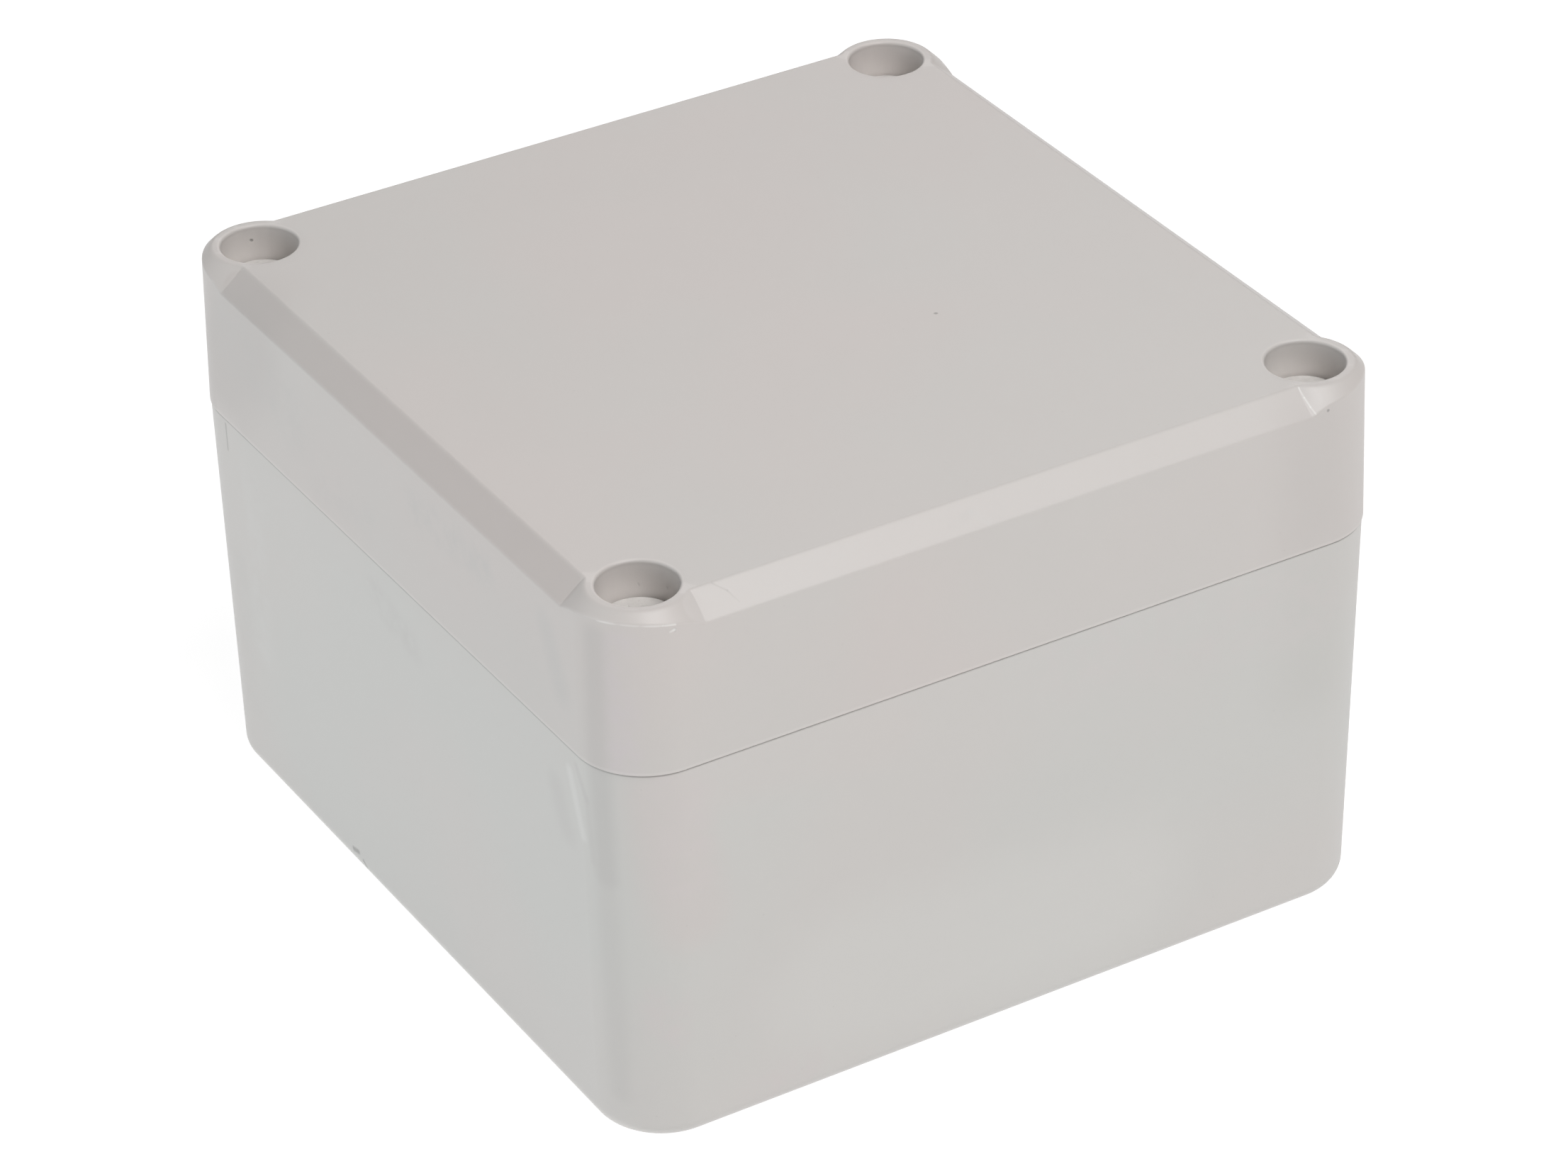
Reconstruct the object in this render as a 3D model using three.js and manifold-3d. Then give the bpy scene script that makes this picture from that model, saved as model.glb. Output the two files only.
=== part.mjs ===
// Sealed electrical junction box: a moulded base and a deep lid held by four captive screws,
// a seal between them, and a terminal block on a mounting plate inside.
// Millimetres, +Z up. Origin: centre of the base's underside. X is the 80 mm side, Y the 82 mm side.
import * as THREE from "three";
import { mergeVertices } from "three/addons/utils/BufferGeometryUtils.js";
import Module from "manifold-3d";

const wasm = await Module();
wasm.setup();

// ---------------------------------------------------------------- shared dimensions
const WIDTH = 80; // X, at the joint between base and lid
const DEPTH = 82; // Y, at the joint
const HEIGHT = 55;
const SEAM_Z = 39.25; // base height; the lid covers the rest
const CORNER_R = 6.75;
const CORNER_STEPS = 7;
const WALL = 2.8;
const FLOOR = 2.6;
const OVERCUT = 1; // cuts run this far past the faces they open

const SCREW_INSET = 5.95; // lid screw axis, from both sides
const SCREW_X = WIDTH / 2 - SCREW_INSET;
const SCREW_Y = DEPTH / 2 - SCREW_INSET;
const RECESS_DEPTH = 3.4; // from the lid's face to the screw's head
const HEAD_H = 3;
const HEAD_TOP = HEIGHT - RECESS_DEPTH;
const SEAT_Z = HEAD_TOP - HEAD_H; // underside of the screw's head
const WASHER_R = 2.95;
const INSERT_R = 2.9;
const INSERT_TOP = SEAM_Z - 0.6;
const INSERT_BOTTOM = INSERT_TOP - 9;
const THREAD_BORE_R = 2.03; // bore of the washers and inserts, round the M4 screw

// The line the seal follows: inside the walls, and round the screw pillars on their inner side.
// The IN and OUT values below are offsets from it, positive outwards.
const PILLAR_R = 6;
const PILLAR_FILLET = 1.5;
const FILLET_STEPS = 3;
const PILLAR_STEPS = 2 * FILLET_STEPS + 1;
const TONGUE_IN = 0.5;
const TONGUE_OUT = 1.4;
const TONGUE_H = 1.8;
const GROOVE_IN = 0.2;
const GROOVE_OUT = 1.7;
const GROOVE_DEPTH = 3.4;
const GASKET_IN = 0.35;
const GASKET_OUT = 1.55;

const BOSS_X = 22;
const BOSS_Y = 23;
const PLATE_Z = 8.4; // top of the bosses, underside of the mounting plate
const PLATE_T = 1.5;
const BLOCK_Z = PLATE_Z + PLATE_T; // underside of the terminal block
const POLE_PITCH = 13;

// ---------------------------------------------------------------- places, as [x, y]
const fourPlaces = (x, y) => [
  [x, y],
  [-x, y],
  [-x, -y],
  [x, -y],
];
const SCREW_PLACES = fourPlaces(SCREW_X, SCREW_Y);
const BOSS_PLACES = fourPlaces(BOSS_X, BOSS_Y);
const POLES = [-POLE_PITCH, 0, POLE_PITCH];
const FIXING_PLACES = [
  [-POLE_PITCH / 2, 0],
  [POLE_PITCH / 2, 0],
];
const clampPlaces = (poleX) => [
  [poleX, -5],
  [poleX, 5],
];

// ---------------------------------------------------------------- solids
function solid(geometry) {
  geometry.deleteAttribute("normal");
  geometry.deleteAttribute("uv");
  const merged = mergeVertices(geometry, 1e-4);
  return new wasm.Manifold(
    new wasm.Mesh({
      numProp: 3,
      vertProperties: new Float32Array(merged.attributes.position.array),
      triVerts: new Uint32Array(merged.index.array),
    }),
  );
}

// Flat-shaded geometry of a manifold.
function geometryOf(manifold) {
  const mesh = manifold.getMesh();
  const indexed = new THREE.BufferGeometry();
  const positions = new Float32Array(mesh.vertProperties);
  indexed.setAttribute("position", new THREE.BufferAttribute(positions, 3));
  indexed.setIndex(new THREE.BufferAttribute(new Uint32Array(mesh.triVerts), 1));
  const flat = indexed.toNonIndexed();
  flat.computeVertexNormals();
  return flat;
}

const vectors = (points) => points.map(([x, y]) => new THREE.Vector2(x, y));

// A prism of an outline between two heights.
function prism(points, z0, z1) {
  const geometry = new THREE.ExtrudeGeometry(new THREE.Shape(vectors(points)), {
    depth: z1 - z0,
    bevelEnabled: false,
    steps: 1,
  });
  return solid(geometry.translate(0, 0, z0));
}

// A closed skin through rings of equal count, bottom to top, with flat ends.
function loft(rings) {
  const count = rings[0].points.length;
  const positions = rings.flatMap(({ points, z }) => points.flatMap(([x, y]) => [x, y, z]));
  const index = [];
  for (let ring = 0; ring + 1 < rings.length; ring++)
    for (let i = 0; i < count; i++) {
      const here = ring * count + i;
      const next = ring * count + ((i + 1) % count);
      index.push(here, next, next + count, here, next + count, here + count);
    }
  const cap = (ring, facesUp) => {
    for (const triangle of THREE.ShapeUtils.triangulateShape(vectors(rings[ring].points), [])) {
      const [a, b, c] = triangle.map((i) => i + ring * count);
      index.push(...(facesUp ? [a, b, c] : [c, b, a]));
    }
  };
  cap(0, false);
  cap(rings.length - 1, true);
  const geometry = new THREE.BufferGeometry();
  geometry.setAttribute("position", new THREE.Float32BufferAttribute(positions, 3));
  geometry.setIndex(index);
  return solid(geometry);
}

function cylinder(x, y, radius, z0, z1, segments = 20) {
  const geometry = new THREE.CylinderGeometry(radius, radius, z1 - z0, segments);
  return solid(geometry.rotateX(Math.PI / 2).translate(x, y, (z0 + z1) / 2));
}

// A box centred on (x, y), between two heights.
function box(x, y, halfX, halfY, z0, z1) {
  const geometry = new THREE.BoxGeometry(2 * halfX, 2 * halfY, z1 - z0);
  return solid(geometry.translate(x, y, (z0 + z1) / 2));
}

// A turned piece from a profile of [radius, z] that starts and ends on the axis.
function turned(profile, x, y, segments = 20) {
  const geometry = new THREE.LatheGeometry(vectors(profile), segments);
  return solid(geometry.rotateX(Math.PI / 2).translate(x, y, 0));
}

// The piece with the same upright hole at each place.
const drill = (piece, places, radius, z0, z1, segments) =>
  places.reduce(
    (rest, [x, y]) => rest.subtract(cylinder(x, y, radius, z0, z1, segments)),
    piece,
  );

// The piece with a cross-shaped slot.
const cutCross = (piece, x, y, halfLength, halfWidth, z0, z1) =>
  piece
    .subtract(box(x, y, halfLength, halfWidth, z0, z1))
    .subtract(box(x, y, halfWidth, halfLength, z0, z1));

// ---------------------------------------------------------------- outlines
const arc = ([x, y], radius, from, to, steps) =>
  Array.from({ length: steps + 1 }, (_, i) => {
    const angle = from + ((to - from) * i) / steps;
    return [x + radius * Math.cos(angle), y + radius * Math.sin(angle)];
  });

// A rounded rectangle, set in from the full size at the joint.
function outline(inset, radius = CORNER_R) {
  const quarterTurn = Math.PI / 2;
  const centres = fourPlaces(WIDTH / 2 - inset - radius, DEPTH / 2 - inset - radius);
  return centres.flatMap((centre, i) =>
    arc(centre, radius, i * quarterTurn, (i + 1) * quarterTurn, CORNER_STEPS),
  );
}

// A rectangle with its corners cut off.
const chamfered = (x, y, cut) => [
  [x, y - cut],
  [x - cut, y],
  [cut - x, y],
  [-x, y - cut],
  [-x, cut - y],
  [cut - x, -y],
  [x - cut, -y],
  [x, cut - y],
];

// The seal line, moved outwards: straight along the walls, and round each screw pillar.
function sealLine(offset) {
  // Fillets, touching wall and pillar, on the X side and the Y side of the pillar.
  const reach = PILLAR_FILLET + PILLAR_R;
  const filletX = WIDTH / 2 - WALL - PILLAR_FILLET;
  const filletY = DEPTH / 2 - WALL - PILLAR_FILLET;
  const filletA = [filletX, SCREW_Y - Math.sqrt(reach ** 2 - (filletX - SCREW_X) ** 2)];
  const filletB = [SCREW_X - Math.sqrt(reach ** 2 - (filletY - SCREW_Y) ** 2), filletY];
  const towardsPillar = ([x, y]) => Math.atan2(SCREW_Y - y, SCREW_X - x);
  const angleA = towardsPillar(filletA);
  const angleB = towardsPillar(filletB);

  const filletR = PILLAR_FILLET + offset;
  const pillarR = PILLAR_R - offset;
  const pillar = [SCREW_X, SCREW_Y];
  // Each later arc drops its first point, where the one before it ends.
  const quarter = [
    ...arc(filletA, filletR, 0, angleA, FILLET_STEPS),
    ...arc(pillar, pillarR, angleA + Math.PI, angleB + Math.PI, PILLAR_STEPS).slice(1),
    ...arc(filletB, filletR, angleB, Math.PI / 2, FILLET_STEPS).slice(1),
  ];
  const half = [...quarter, ...quarter.map(([x, y]) => [-x, y]).reverse()];
  return [...half, ...half.map(([x, y]) => [-x, -y])];
}

// A band that follows the seal line, between two offsets.
const sealBand = (inner, outer, z0, z1) =>
  prism(sealLine(outer), z0, z1).subtract(prism(sealLine(inner), z0 - OVERCUT, z1 + OVERCUT));

// ---------------------------------------------------------------- base
const FOOT_INSET = 0.62; // draft of the base wall at the foot, each side
const FOOT_FILLET = 2;
const WASHER_CLEARANCE = 0.3;
const SCREW_END_R = 2.2; // blind hole below the insert
const SCREW_END_DEPTH = 4;
const BOSS_R = 3.3;
const BOSS_PILOT_R = 1.15;

// A section of the drafted outer wall, set in further by the foot's fillet.
const wallRing = (z, extra) => ({
  z,
  points: outline(FOOT_INSET * (1 - z / SEAM_Z) + extra, CORNER_R - extra),
});

function baseShell() {
  const footRings = [0, 0.25, 0.6, 1].map((fraction) => {
    const angle = (fraction * Math.PI) / 2;
    return wallRing(FOOT_FILLET * (1 - Math.cos(angle)), FOOT_FILLET * (1 - Math.sin(angle)));
  });
  return loft([...footRings, wallRing(SEAM_Z, 0)])
    .subtract(prism(sealLine(0), FLOOR, SEAM_Z + OVERCUT))
    .add(sealBand(TONGUE_IN, TONGUE_OUT, SEAM_Z - 1, SEAM_Z + TONGUE_H));
}

// A boss under the mounting plate, flared at the floor and sunk into it.
const plateBoss = (x, y) =>
  turned(
    [
      [0, FLOOR - 1],
      [BOSS_R + 0.5, FLOOR - 1],
      [BOSS_R + 0.5, FLOOR],
      [BOSS_R, FLOOR + 0.5],
      [BOSS_R - 0.2, PLATE_Z],
      [0, PLATE_Z],
    ],
    x,
    y,
    16,
  );

function makeBase() {
  let base = baseShell();
  // Stepped blind hole down each pillar: washer, insert, end of the screw.
  const open = SEAM_Z + OVERCUT;
  base = drill(base, SCREW_PLACES, INSERT_R, INSERT_BOTTOM, open);
  base = drill(base, SCREW_PLACES, SCREW_END_R, INSERT_BOTTOM - SCREW_END_DEPTH, INSERT_TOP, 12);
  base = drill(base, SCREW_PLACES, WASHER_R + WASHER_CLEARANCE, INSERT_TOP, open);
  for (const [x, y] of BOSS_PLACES) base = base.add(plateBoss(x, y));
  return drill(base, BOSS_PLACES, BOSS_PILOT_R, FLOOR + 0.6, PLATE_Z + OVERCUT, 12);
}

// ---------------------------------------------------------------- lid
const LID_TOP = 2.8; // thickness
const LID_DRAFT = 0.22; // draft of the lid wall at the facets, each side
const FACET_DROP = 2.05; // the sloping facets along the lid's upper edges
const FACET_INSET = 2.71;
const FACET_Z = HEIGHT - FACET_DROP;
const TURRET_R = 4.5; // flat ring round each screw recess, with a 45 degree cone under it
const TURRET_NOTCH = 2.6; // the facets stop this far inwards of the screw axes
const ENVELOPE_DROP = 1; // the facet planes and cones carry on below the facets' lower edge
const TRIM_DROP = 0.6; // and the trimming starts here, where they lie outside the wall
const LIP_GAP = 0.3;
const RIB_IN = -0.9; // inner face of the groove's inner lip
const RECESS_R = 3.6;
const LID_HOLE_R = 2.3;
const POCKET_R = 3.2; // under the lid's boss, for the retaining washer
const POCKET_DEPTH = 6.4;

const lidRing = (z) => ({
  z,
  points: outline((LID_DRAFT * (z - SEAM_Z)) / (FACET_Z - SEAM_Z)),
});

// A rectangle between the four facet planes.
function facetRing(z) {
  const slope = (FACET_INSET - LID_DRAFT) / FACET_DROP;
  const inset = FACET_INSET - slope * (HEIGHT - z);
  return { z, points: fourPlaces(WIDTH / 2 - inset, DEPTH / 2 - inset) };
}

const turret = (x, y) =>
  turned(
    [
      [0, FACET_Z - ENVELOPE_DROP],
      [TURRET_R + FACET_DROP + ENVELOPE_DROP, FACET_Z - ENVELOPE_DROP],
      [TURRET_R, HEIGHT],
      [0, HEIGHT],
    ],
    x,
    y,
    40,
  );

// What bounds the top of the lid: the facet planes, with a turret at each corner.
function topEnvelope() {
  const bottom = FACET_Z - ENVELOPE_DROP;
  let envelope = loft([facetRing(bottom), facetRing(HEIGHT)]);
  const notchX = SCREW_X - TURRET_NOTCH;
  const notchY = SCREW_Y - TURRET_NOTCH;
  const halfX = (WIDTH - notchX) / 2;
  const halfY = (DEPTH - notchY) / 2;
  for (const [x, y] of fourPlaces(notchX + halfX, notchY + halfY))
    envelope = envelope.subtract(box(x, y, halfX, halfY, bottom - OVERCUT, HEIGHT + OVERCUT));
  for (const [x, y] of SCREW_PLACES) envelope = envelope.add(turret(x, y));
  return envelope;
}

function makeLid() {
  const open = SEAM_Z - OVERCUT;
  const trim = box(0, 0, WIDTH, DEPTH, FACET_Z - TRIM_DROP, HEIGHT + OVERCUT);
  let lid = loft([lidRing(SEAM_Z), lidRing(HEIGHT)])
    .subtract(trim.subtract(topEnvelope()))
    .subtract(prism(sealLine(RIB_IN), open, HEIGHT - LID_TOP))
    .subtract(sealBand(GROOVE_IN, GROOVE_OUT, open, SEAM_Z + GROOVE_DEPTH))
    // the groove's inner lip stops short of the base's rim
    .subtract(prism(sealLine(TONGUE_IN), open, SEAM_Z + LIP_GAP));
  lid = drill(lid, SCREW_PLACES, RECESS_R, SEAT_Z, HEIGHT + OVERCUT, 32);
  lid = drill(lid, SCREW_PLACES, LID_HOLE_R, open, SEAT_Z + OVERCUT);
  return drill(lid, SCREW_PLACES, POCKET_R, open, SEAM_Z + POCKET_DEPTH);
}

// ---------------------------------------------------------------- seal
const makeGasket = () =>
  sealBand(GASKET_IN, GASKET_OUT, SEAM_Z + TONGUE_H, SEAM_Z + GROOVE_DEPTH);

// ---------------------------------------------------------------- lid screws, washers and inserts
const HEAD_R = 3.4;
const HEAD_CHAMFER = 0.35;
const SCREW_R = 1.95; // M4
const SCREW_LENGTH = 14.6; // under the head
const CROSS = { halfLength: 2.35, halfWidth: 0.5, depth: 1.7 };
const WASHER_Z = SEAM_Z + 0.2;
const WASHER_H = 1.1;

function lidScrew(x, y) {
  const tip = SEAT_Z - SCREW_LENGTH;
  const blank = turned(
    [
      [0, tip],
      [SCREW_R - 0.6, tip],
      [SCREW_R, tip + 0.8],
      [SCREW_R, SEAT_Z],
      [HEAD_R, SEAT_Z],
      [HEAD_R, HEAD_TOP - HEAD_CHAMFER],
      [HEAD_R - HEAD_CHAMFER, HEAD_TOP],
      [0, HEAD_TOP],
    ],
    x,
    y,
  );
  const { halfLength, halfWidth, depth } = CROSS;
  return cutCross(blank, x, y, halfLength, halfWidth, HEAD_TOP - depth, HEAD_TOP + OVERCUT);
}

function washer(x, y) {
  const top = WASHER_Z + WASHER_H;
  const disc = cylinder(x, y, WASHER_R, WASHER_Z, top);
  return drill(disc, [[x, y]], THREAD_BORE_R, WASHER_Z - OVERCUT, top + OVERCUT);
}

// Tapered at its lower end.
function insert(x, y) {
  const blank = turned(
    [
      [0, INSERT_BOTTOM],
      [INSERT_R - 0.35, INSERT_BOTTOM],
      [INSERT_R, INSERT_BOTTOM + 0.6],
      [INSERT_R, INSERT_TOP],
      [0, INSERT_TOP],
    ],
    x,
    y,
  );
  return drill(blank, [[x, y]], THREAD_BORE_R, INSERT_BOTTOM - OVERCUT, INSERT_TOP + OVERCUT);
}

// ---------------------------------------------------------------- mounting plate
const PLATE_X = 56;
const PLATE_Y = 58;
const PLATE_CHAMFER = 3;
const PLATE_HOLE_R = 1.75;
const FIXING_PILOT_R = 1.05;

function makePlate() {
  const z0 = PLATE_Z - OVERCUT;
  const z1 = BLOCK_Z + OVERCUT;
  const blank = prism(chamfered(PLATE_X / 2, PLATE_Y / 2, PLATE_CHAMFER), PLATE_Z, BLOCK_Z);
  const plate = drill(blank, BOSS_PLACES, PLATE_HOLE_R, z0, z1, 12);
  return drill(plate, FIXING_PLACES, FIXING_PILOT_R, z0, z1, 10);
}

// ---------------------------------------------------------------- terminal block
const BLOCK_X = 41;
const BLOCK_Y = 20;
const BLOCK_CHAMFER = 0.8;
const BLOCK_TOP = BLOCK_Z + 15.5;
const STEP_Z = BLOCK_Z + 10.6; // top of the body between the poles
const TOWER_W = 9.2; // the raised part over each pole, as long as the sleeve
const TOWER_Z = BLOCK_Z + 5; // its lower end, inside the body
const FIXING_HOLE_R = 1.45;
const SLEEVE_W = 7;
const SLEEVE_L = 18.4;
const SLEEVE_Z = BLOCK_Z + 2.2; // underside of the sleeves
const SLEEVE_TOP = SLEEVE_Z + SLEEVE_W;
const SLEEVE_MID = SLEEVE_Z + SLEEVE_W / 2;
const SLEEVE_BORE_R = 2.3;
const SLEEVE_GAP = 0.15; // to the housing, at the sides and top
const CLAMP_R = 1.45; // M3
const CLAMP_HOLE_R = 1.6;
const CLAMP_HEAD_R = 2.5;
const CLAMP_HEAD_GAP = 0.25;
const GUARD_TOP = SLEEVE_MID + 1.55;
const GUARD = { halfX: 1.3, halfY: 2.2, thickness: 0.5 };

function makeHousing() {
  let housing = prism(chamfered(BLOCK_X / 2, BLOCK_Y / 2, BLOCK_CHAMFER), BLOCK_Z, STEP_Z);
  for (const x of POLES)
    housing = housing.add(box(x, 0, TOWER_W / 2, SLEEVE_L / 2, TOWER_Z, BLOCK_TOP));
  const top = BLOCK_TOP + OVERCUT;
  const channelX = SLEEVE_W / 2 + SLEEVE_GAP;
  const channelY = BLOCK_Y / 2 + OVERCUT;
  const headHoleR = CLAMP_HEAD_R + CLAMP_HEAD_GAP;
  for (const x of POLES) {
    const channel = box(x, 0, channelX, channelY, SLEEVE_Z, SLEEVE_TOP + SLEEVE_GAP);
    housing = housing.subtract(channel);
    housing = drill(housing, clampPlaces(x), headHoleR, SLEEVE_TOP - OVERCUT, top, 16);
  }
  return drill(housing, FIXING_PLACES, FIXING_HOLE_R, BLOCK_Z - OVERCUT, top, 12);
}

// Square bar bored along Y, with two clamp screw holes in its top.
function sleeve(x) {
  const bar = box(x, 0, SLEEVE_W / 2, SLEEVE_L / 2, SLEEVE_Z, SLEEVE_TOP);
  const boreLength = SLEEVE_L + 2 * OVERCUT;
  const bore = new THREE.CylinderGeometry(SLEEVE_BORE_R, SLEEVE_BORE_R, boreLength, 16);
  const bored = bar.subtract(solid(bore.translate(x, 0, SLEEVE_MID)));
  return drill(bored, clampPlaces(x), CLAMP_HOLE_R, SLEEVE_MID, SLEEVE_TOP + OVERCUT, 12);
}

// A small leaf under the clamp screw's tip, at the top of the sleeve's bore.
const wireGuard = (x, y) =>
  box(x, y, GUARD.halfX, GUARD.halfY, GUARD_TOP - GUARD.thickness, GUARD_TOP);

// Cheese-headed, with a slot along X right across the head.
function clampScrew(x, y) {
  const tip = GUARD_TOP;
  const under = SLEEVE_TOP + 2.9;
  const top = under + 2.2;
  const blank = turned(
    [
      [0, tip],
      [CLAMP_R - 0.3, tip],
      [CLAMP_R, tip + 0.4],
      [CLAMP_R, under],
      [CLAMP_HEAD_R, under],
      [CLAMP_HEAD_R, top],
      [0, top],
    ],
    x,
    y,
    12,
  );
  return blank.subtract(box(x, y, 3, 0.35, top - 1.1, top + OVERCUT));
}

// ---------------------------------------------------------------- pan-head screws
// under: height of the head's underside; length: of the shank below it
const PLATE_SCREW = { under: BLOCK_Z, radius: 1.05, length: 6, headR: 2.9, headH: 2 };
const BLOCK_SCREW = { under: STEP_Z, radius: 0.95, length: 13.4, headR: 1.7, headH: 1.3 };

function panScrew(x, y, { under, radius, length, headR, headH }) {
  const tip = under - length;
  const top = under + headH;
  const blank = turned(
    [
      [0, tip],
      [radius, tip + 0.8],
      [radius, under],
      [headR, under],
      [headR, under + headH * 0.45],
      [headR * 0.65, top],
      [0, top],
    ],
    x,
    y,
    12,
  );
  const slotFloor = under + headH * 0.35;
  return cutCross(blank, x, y, headR * 0.6, headR * 0.13, slotFloor, top + OVERCUT);
}

// ---------------------------------------------------------------- scene graph
const finish = (settings) => new THREE.MeshStandardMaterial(settings);
const housingPlastic = finish({ color: 0xc6c4c0, roughness: 0.55, metalness: 0 });
const screwPlastic = finish({ color: 0xbdbab5, roughness: 0.5, metalness: 0 });
const sealRubber = finish({ color: 0x2b2c2e, roughness: 0.85, metalness: 0 });
const nylon = finish({ color: 0xd9d6cc, roughness: 0.6, metalness: 0 });
const brass = finish({ color: 0xb8923f, roughness: 0.35, metalness: 1 });
const zincSteel = finish({ color: 0xb4b7ba, roughness: 0.4, metalness: 1 });
const blockPlastic = finish({ color: 0xe4e1d8, roughness: 0.5, metalness: 0 });

const group = new THREE.Group();
function put(name, manifold, material) {
  const mesh = new THREE.Mesh(geometryOf(manifold), material);
  mesh.name = name;
  group.add(mesh);
}

put("base", makeBase(), housingPlastic);
put("lid", makeLid(), housingPlastic);
put("lid_gasket", makeGasket(), sealRubber);
SCREW_PLACES.forEach(([x, y], i) => {
  put(`lid_screw_${i + 1}`, lidScrew(x, y), screwPlastic);
  put(`retaining_washer_${i + 1}`, washer(x, y), nylon);
  put(`threaded_insert_${i + 1}`, insert(x, y), brass);
});
BOSS_PLACES.forEach(([x, y], i) => {
  put(`plate_screw_${i + 1}`, panScrew(x, y, PLATE_SCREW), zincSteel);
});
put("mounting_plate", makePlate(), zincSteel);
put("terminal_housing", makeHousing(), blockPlastic);
POLES.forEach((x, i) => {
  put(`terminal_sleeve_${i + 1}`, sleeve(x), brass);
});
POLES.flatMap(clampPlaces).forEach(([x, y], i) => {
  put(`wire_guard_${i + 1}`, wireGuard(x, y), zincSteel);
  put(`clamp_screw_${i + 1}`, clampScrew(x, y), zincSteel);
});
FIXING_PLACES.forEach(([x, y], i) => {
  put(`block_screw_${i + 1}`, panScrew(x, y, BLOCK_SCREW), zincSteel);
});

export default group;
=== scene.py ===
import math
from contextlib import contextmanager

import bmesh
import bpy
import numpy as np
from mathutils import Matrix, Vector
from mathutils.geometry import delaunay_2d_cdt


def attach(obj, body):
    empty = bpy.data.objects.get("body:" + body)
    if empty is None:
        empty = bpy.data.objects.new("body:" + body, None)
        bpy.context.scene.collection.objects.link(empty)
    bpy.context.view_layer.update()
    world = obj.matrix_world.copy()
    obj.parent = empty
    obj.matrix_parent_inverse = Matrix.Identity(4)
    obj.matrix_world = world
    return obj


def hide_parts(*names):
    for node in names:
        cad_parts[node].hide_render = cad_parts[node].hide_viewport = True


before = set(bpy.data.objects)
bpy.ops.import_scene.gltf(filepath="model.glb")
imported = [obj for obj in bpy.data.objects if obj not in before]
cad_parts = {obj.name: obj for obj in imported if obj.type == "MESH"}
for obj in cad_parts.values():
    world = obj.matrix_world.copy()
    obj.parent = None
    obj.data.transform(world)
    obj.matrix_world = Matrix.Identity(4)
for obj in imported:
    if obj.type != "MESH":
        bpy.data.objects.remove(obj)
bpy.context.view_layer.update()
PI = math.pi
MM = 0.001

# ------------------------------------------------------------------ shared dimensions
WIDTH, DEPTH, HEIGHT = 80.0, 82.0, 55.0
HALF_X, HALF_Y = WIDTH / 2, DEPTH / 2
SEAM = 39.25  # height of the joint between base and lid
CORNER_R = 6.75
WALL, FLOOR_Z, CEILING = 2.8, 2.6, 52.2

SCREW_INSET = 5.95
SCREW_X, SCREW_Y = HALF_X - SCREW_INSET, HALF_Y - SCREW_INSET
CORNERS = [(1, 1), (-1, 1), (-1, -1), (1, -1)]
RECESS_R = 3.6
HEAD_TOP, SEAT = 51.6, 48.6  # the lid screw's head, top and underside

PLATE_Z, PLATE_TOP = 8.4, 9.9
PLATE_SCREW_X, PLATE_SCREW_Y = 22.0, 23.0
BLOCK_TOP = 20.5  # top of the terminal block, without its domes
POLES = (-13.0, 0.0, 13.0)
CLAMP_YS = (-5.0, 5.0)
BLOCK_SCREW_XS = (-6.5, 6.5)
SLEEVE_Z = 15.6


# ------------------------------------------------------------------ meshes
class Shell:
    """A skin put together from shared points. A loop is a list of point numbers."""

    def __init__(self):
        self.points, self.index, self.faces = [], {}, []

    def add(self, point):
        key = tuple(round(c * 1e5) for c in point)
        if key not in self.index:
            self.index[key] = len(self.points)
            self.points.append(tuple(float(c) for c in point))
        return self.index[key]

    def loop(self, points):
        return [self.add(p) for p in points]

    def face(self, ids):
        ids = [v for k, v in enumerate(ids) if v != ids[k - 1]]
        if len(ids) > 2:
            self.faces.append(ids)

    def strip(self, first, second):
        count = len(first)
        for i in range(count):
            j = (i + 1) % count
            self.face([first[i], first[j], second[j], second[i]])

    def skin(self, loops):
        """Joins loops, given as points or as point numbers, and returns their numbers."""
        loops = [lp if isinstance(lp[0], int) else self.loop(lp) for lp in loops]
        for first, second in zip(loops, loops[1:]):
            self.strip(first, second)
        return loops

    def closed_skin(self, loops):
        """A skin whose last loop is joined to its first."""
        loops = self.skin(loops)
        self.strip(loops[-1], loops[0])

    def cap(self, outer, holes=()):
        """A flat face in the XY plane between an outer loop and its holes."""
        points, edges, ids = [], [], []
        for lp in (outer, *holes):
            start, count = len(points), len(lp)
            points += [self.points[i][:2] for i in lp]
            ids += lp
            edges += [(start + k, start + (k + 1) % count) for k in range(count)]
        self.faces += [[ids[i] for i in t] for t in triangles_within(points, edges)]

    def fan(self, loop, centre):
        middle = self.add(centre)
        for i, point in enumerate(loop):
            self.faces.append([point, loop[(i + 1) % len(loop)], middle])

    def well(self, x, y, profile, segments, end_z):
        """A round well or post at (x, y), closed at end_z. Returns its first loop."""
        loops = self.skin(rings(profile, segments, x, y))
        self.fan(loops[-1], (x, y, end_z))
        return loops[0]


def inside(points, edges):
    """Whether the points lie inside the outline made of the edges, holes left out."""
    x, y = points[:, 0:1], points[:, 1:2]
    x0, y0, x1, y1 = edges[:, 0, 0], edges[:, 0, 1], edges[:, 1, 0], edges[:, 1, 1]
    with np.errstate(divide="ignore", invalid="ignore"):
        hit = ((y0 > y) != (y1 > y)) & (x < (x1 - x0) * (y - y0) / (y1 - y0) + x0)
    return hit.sum(1) % 2 == 1


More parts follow.
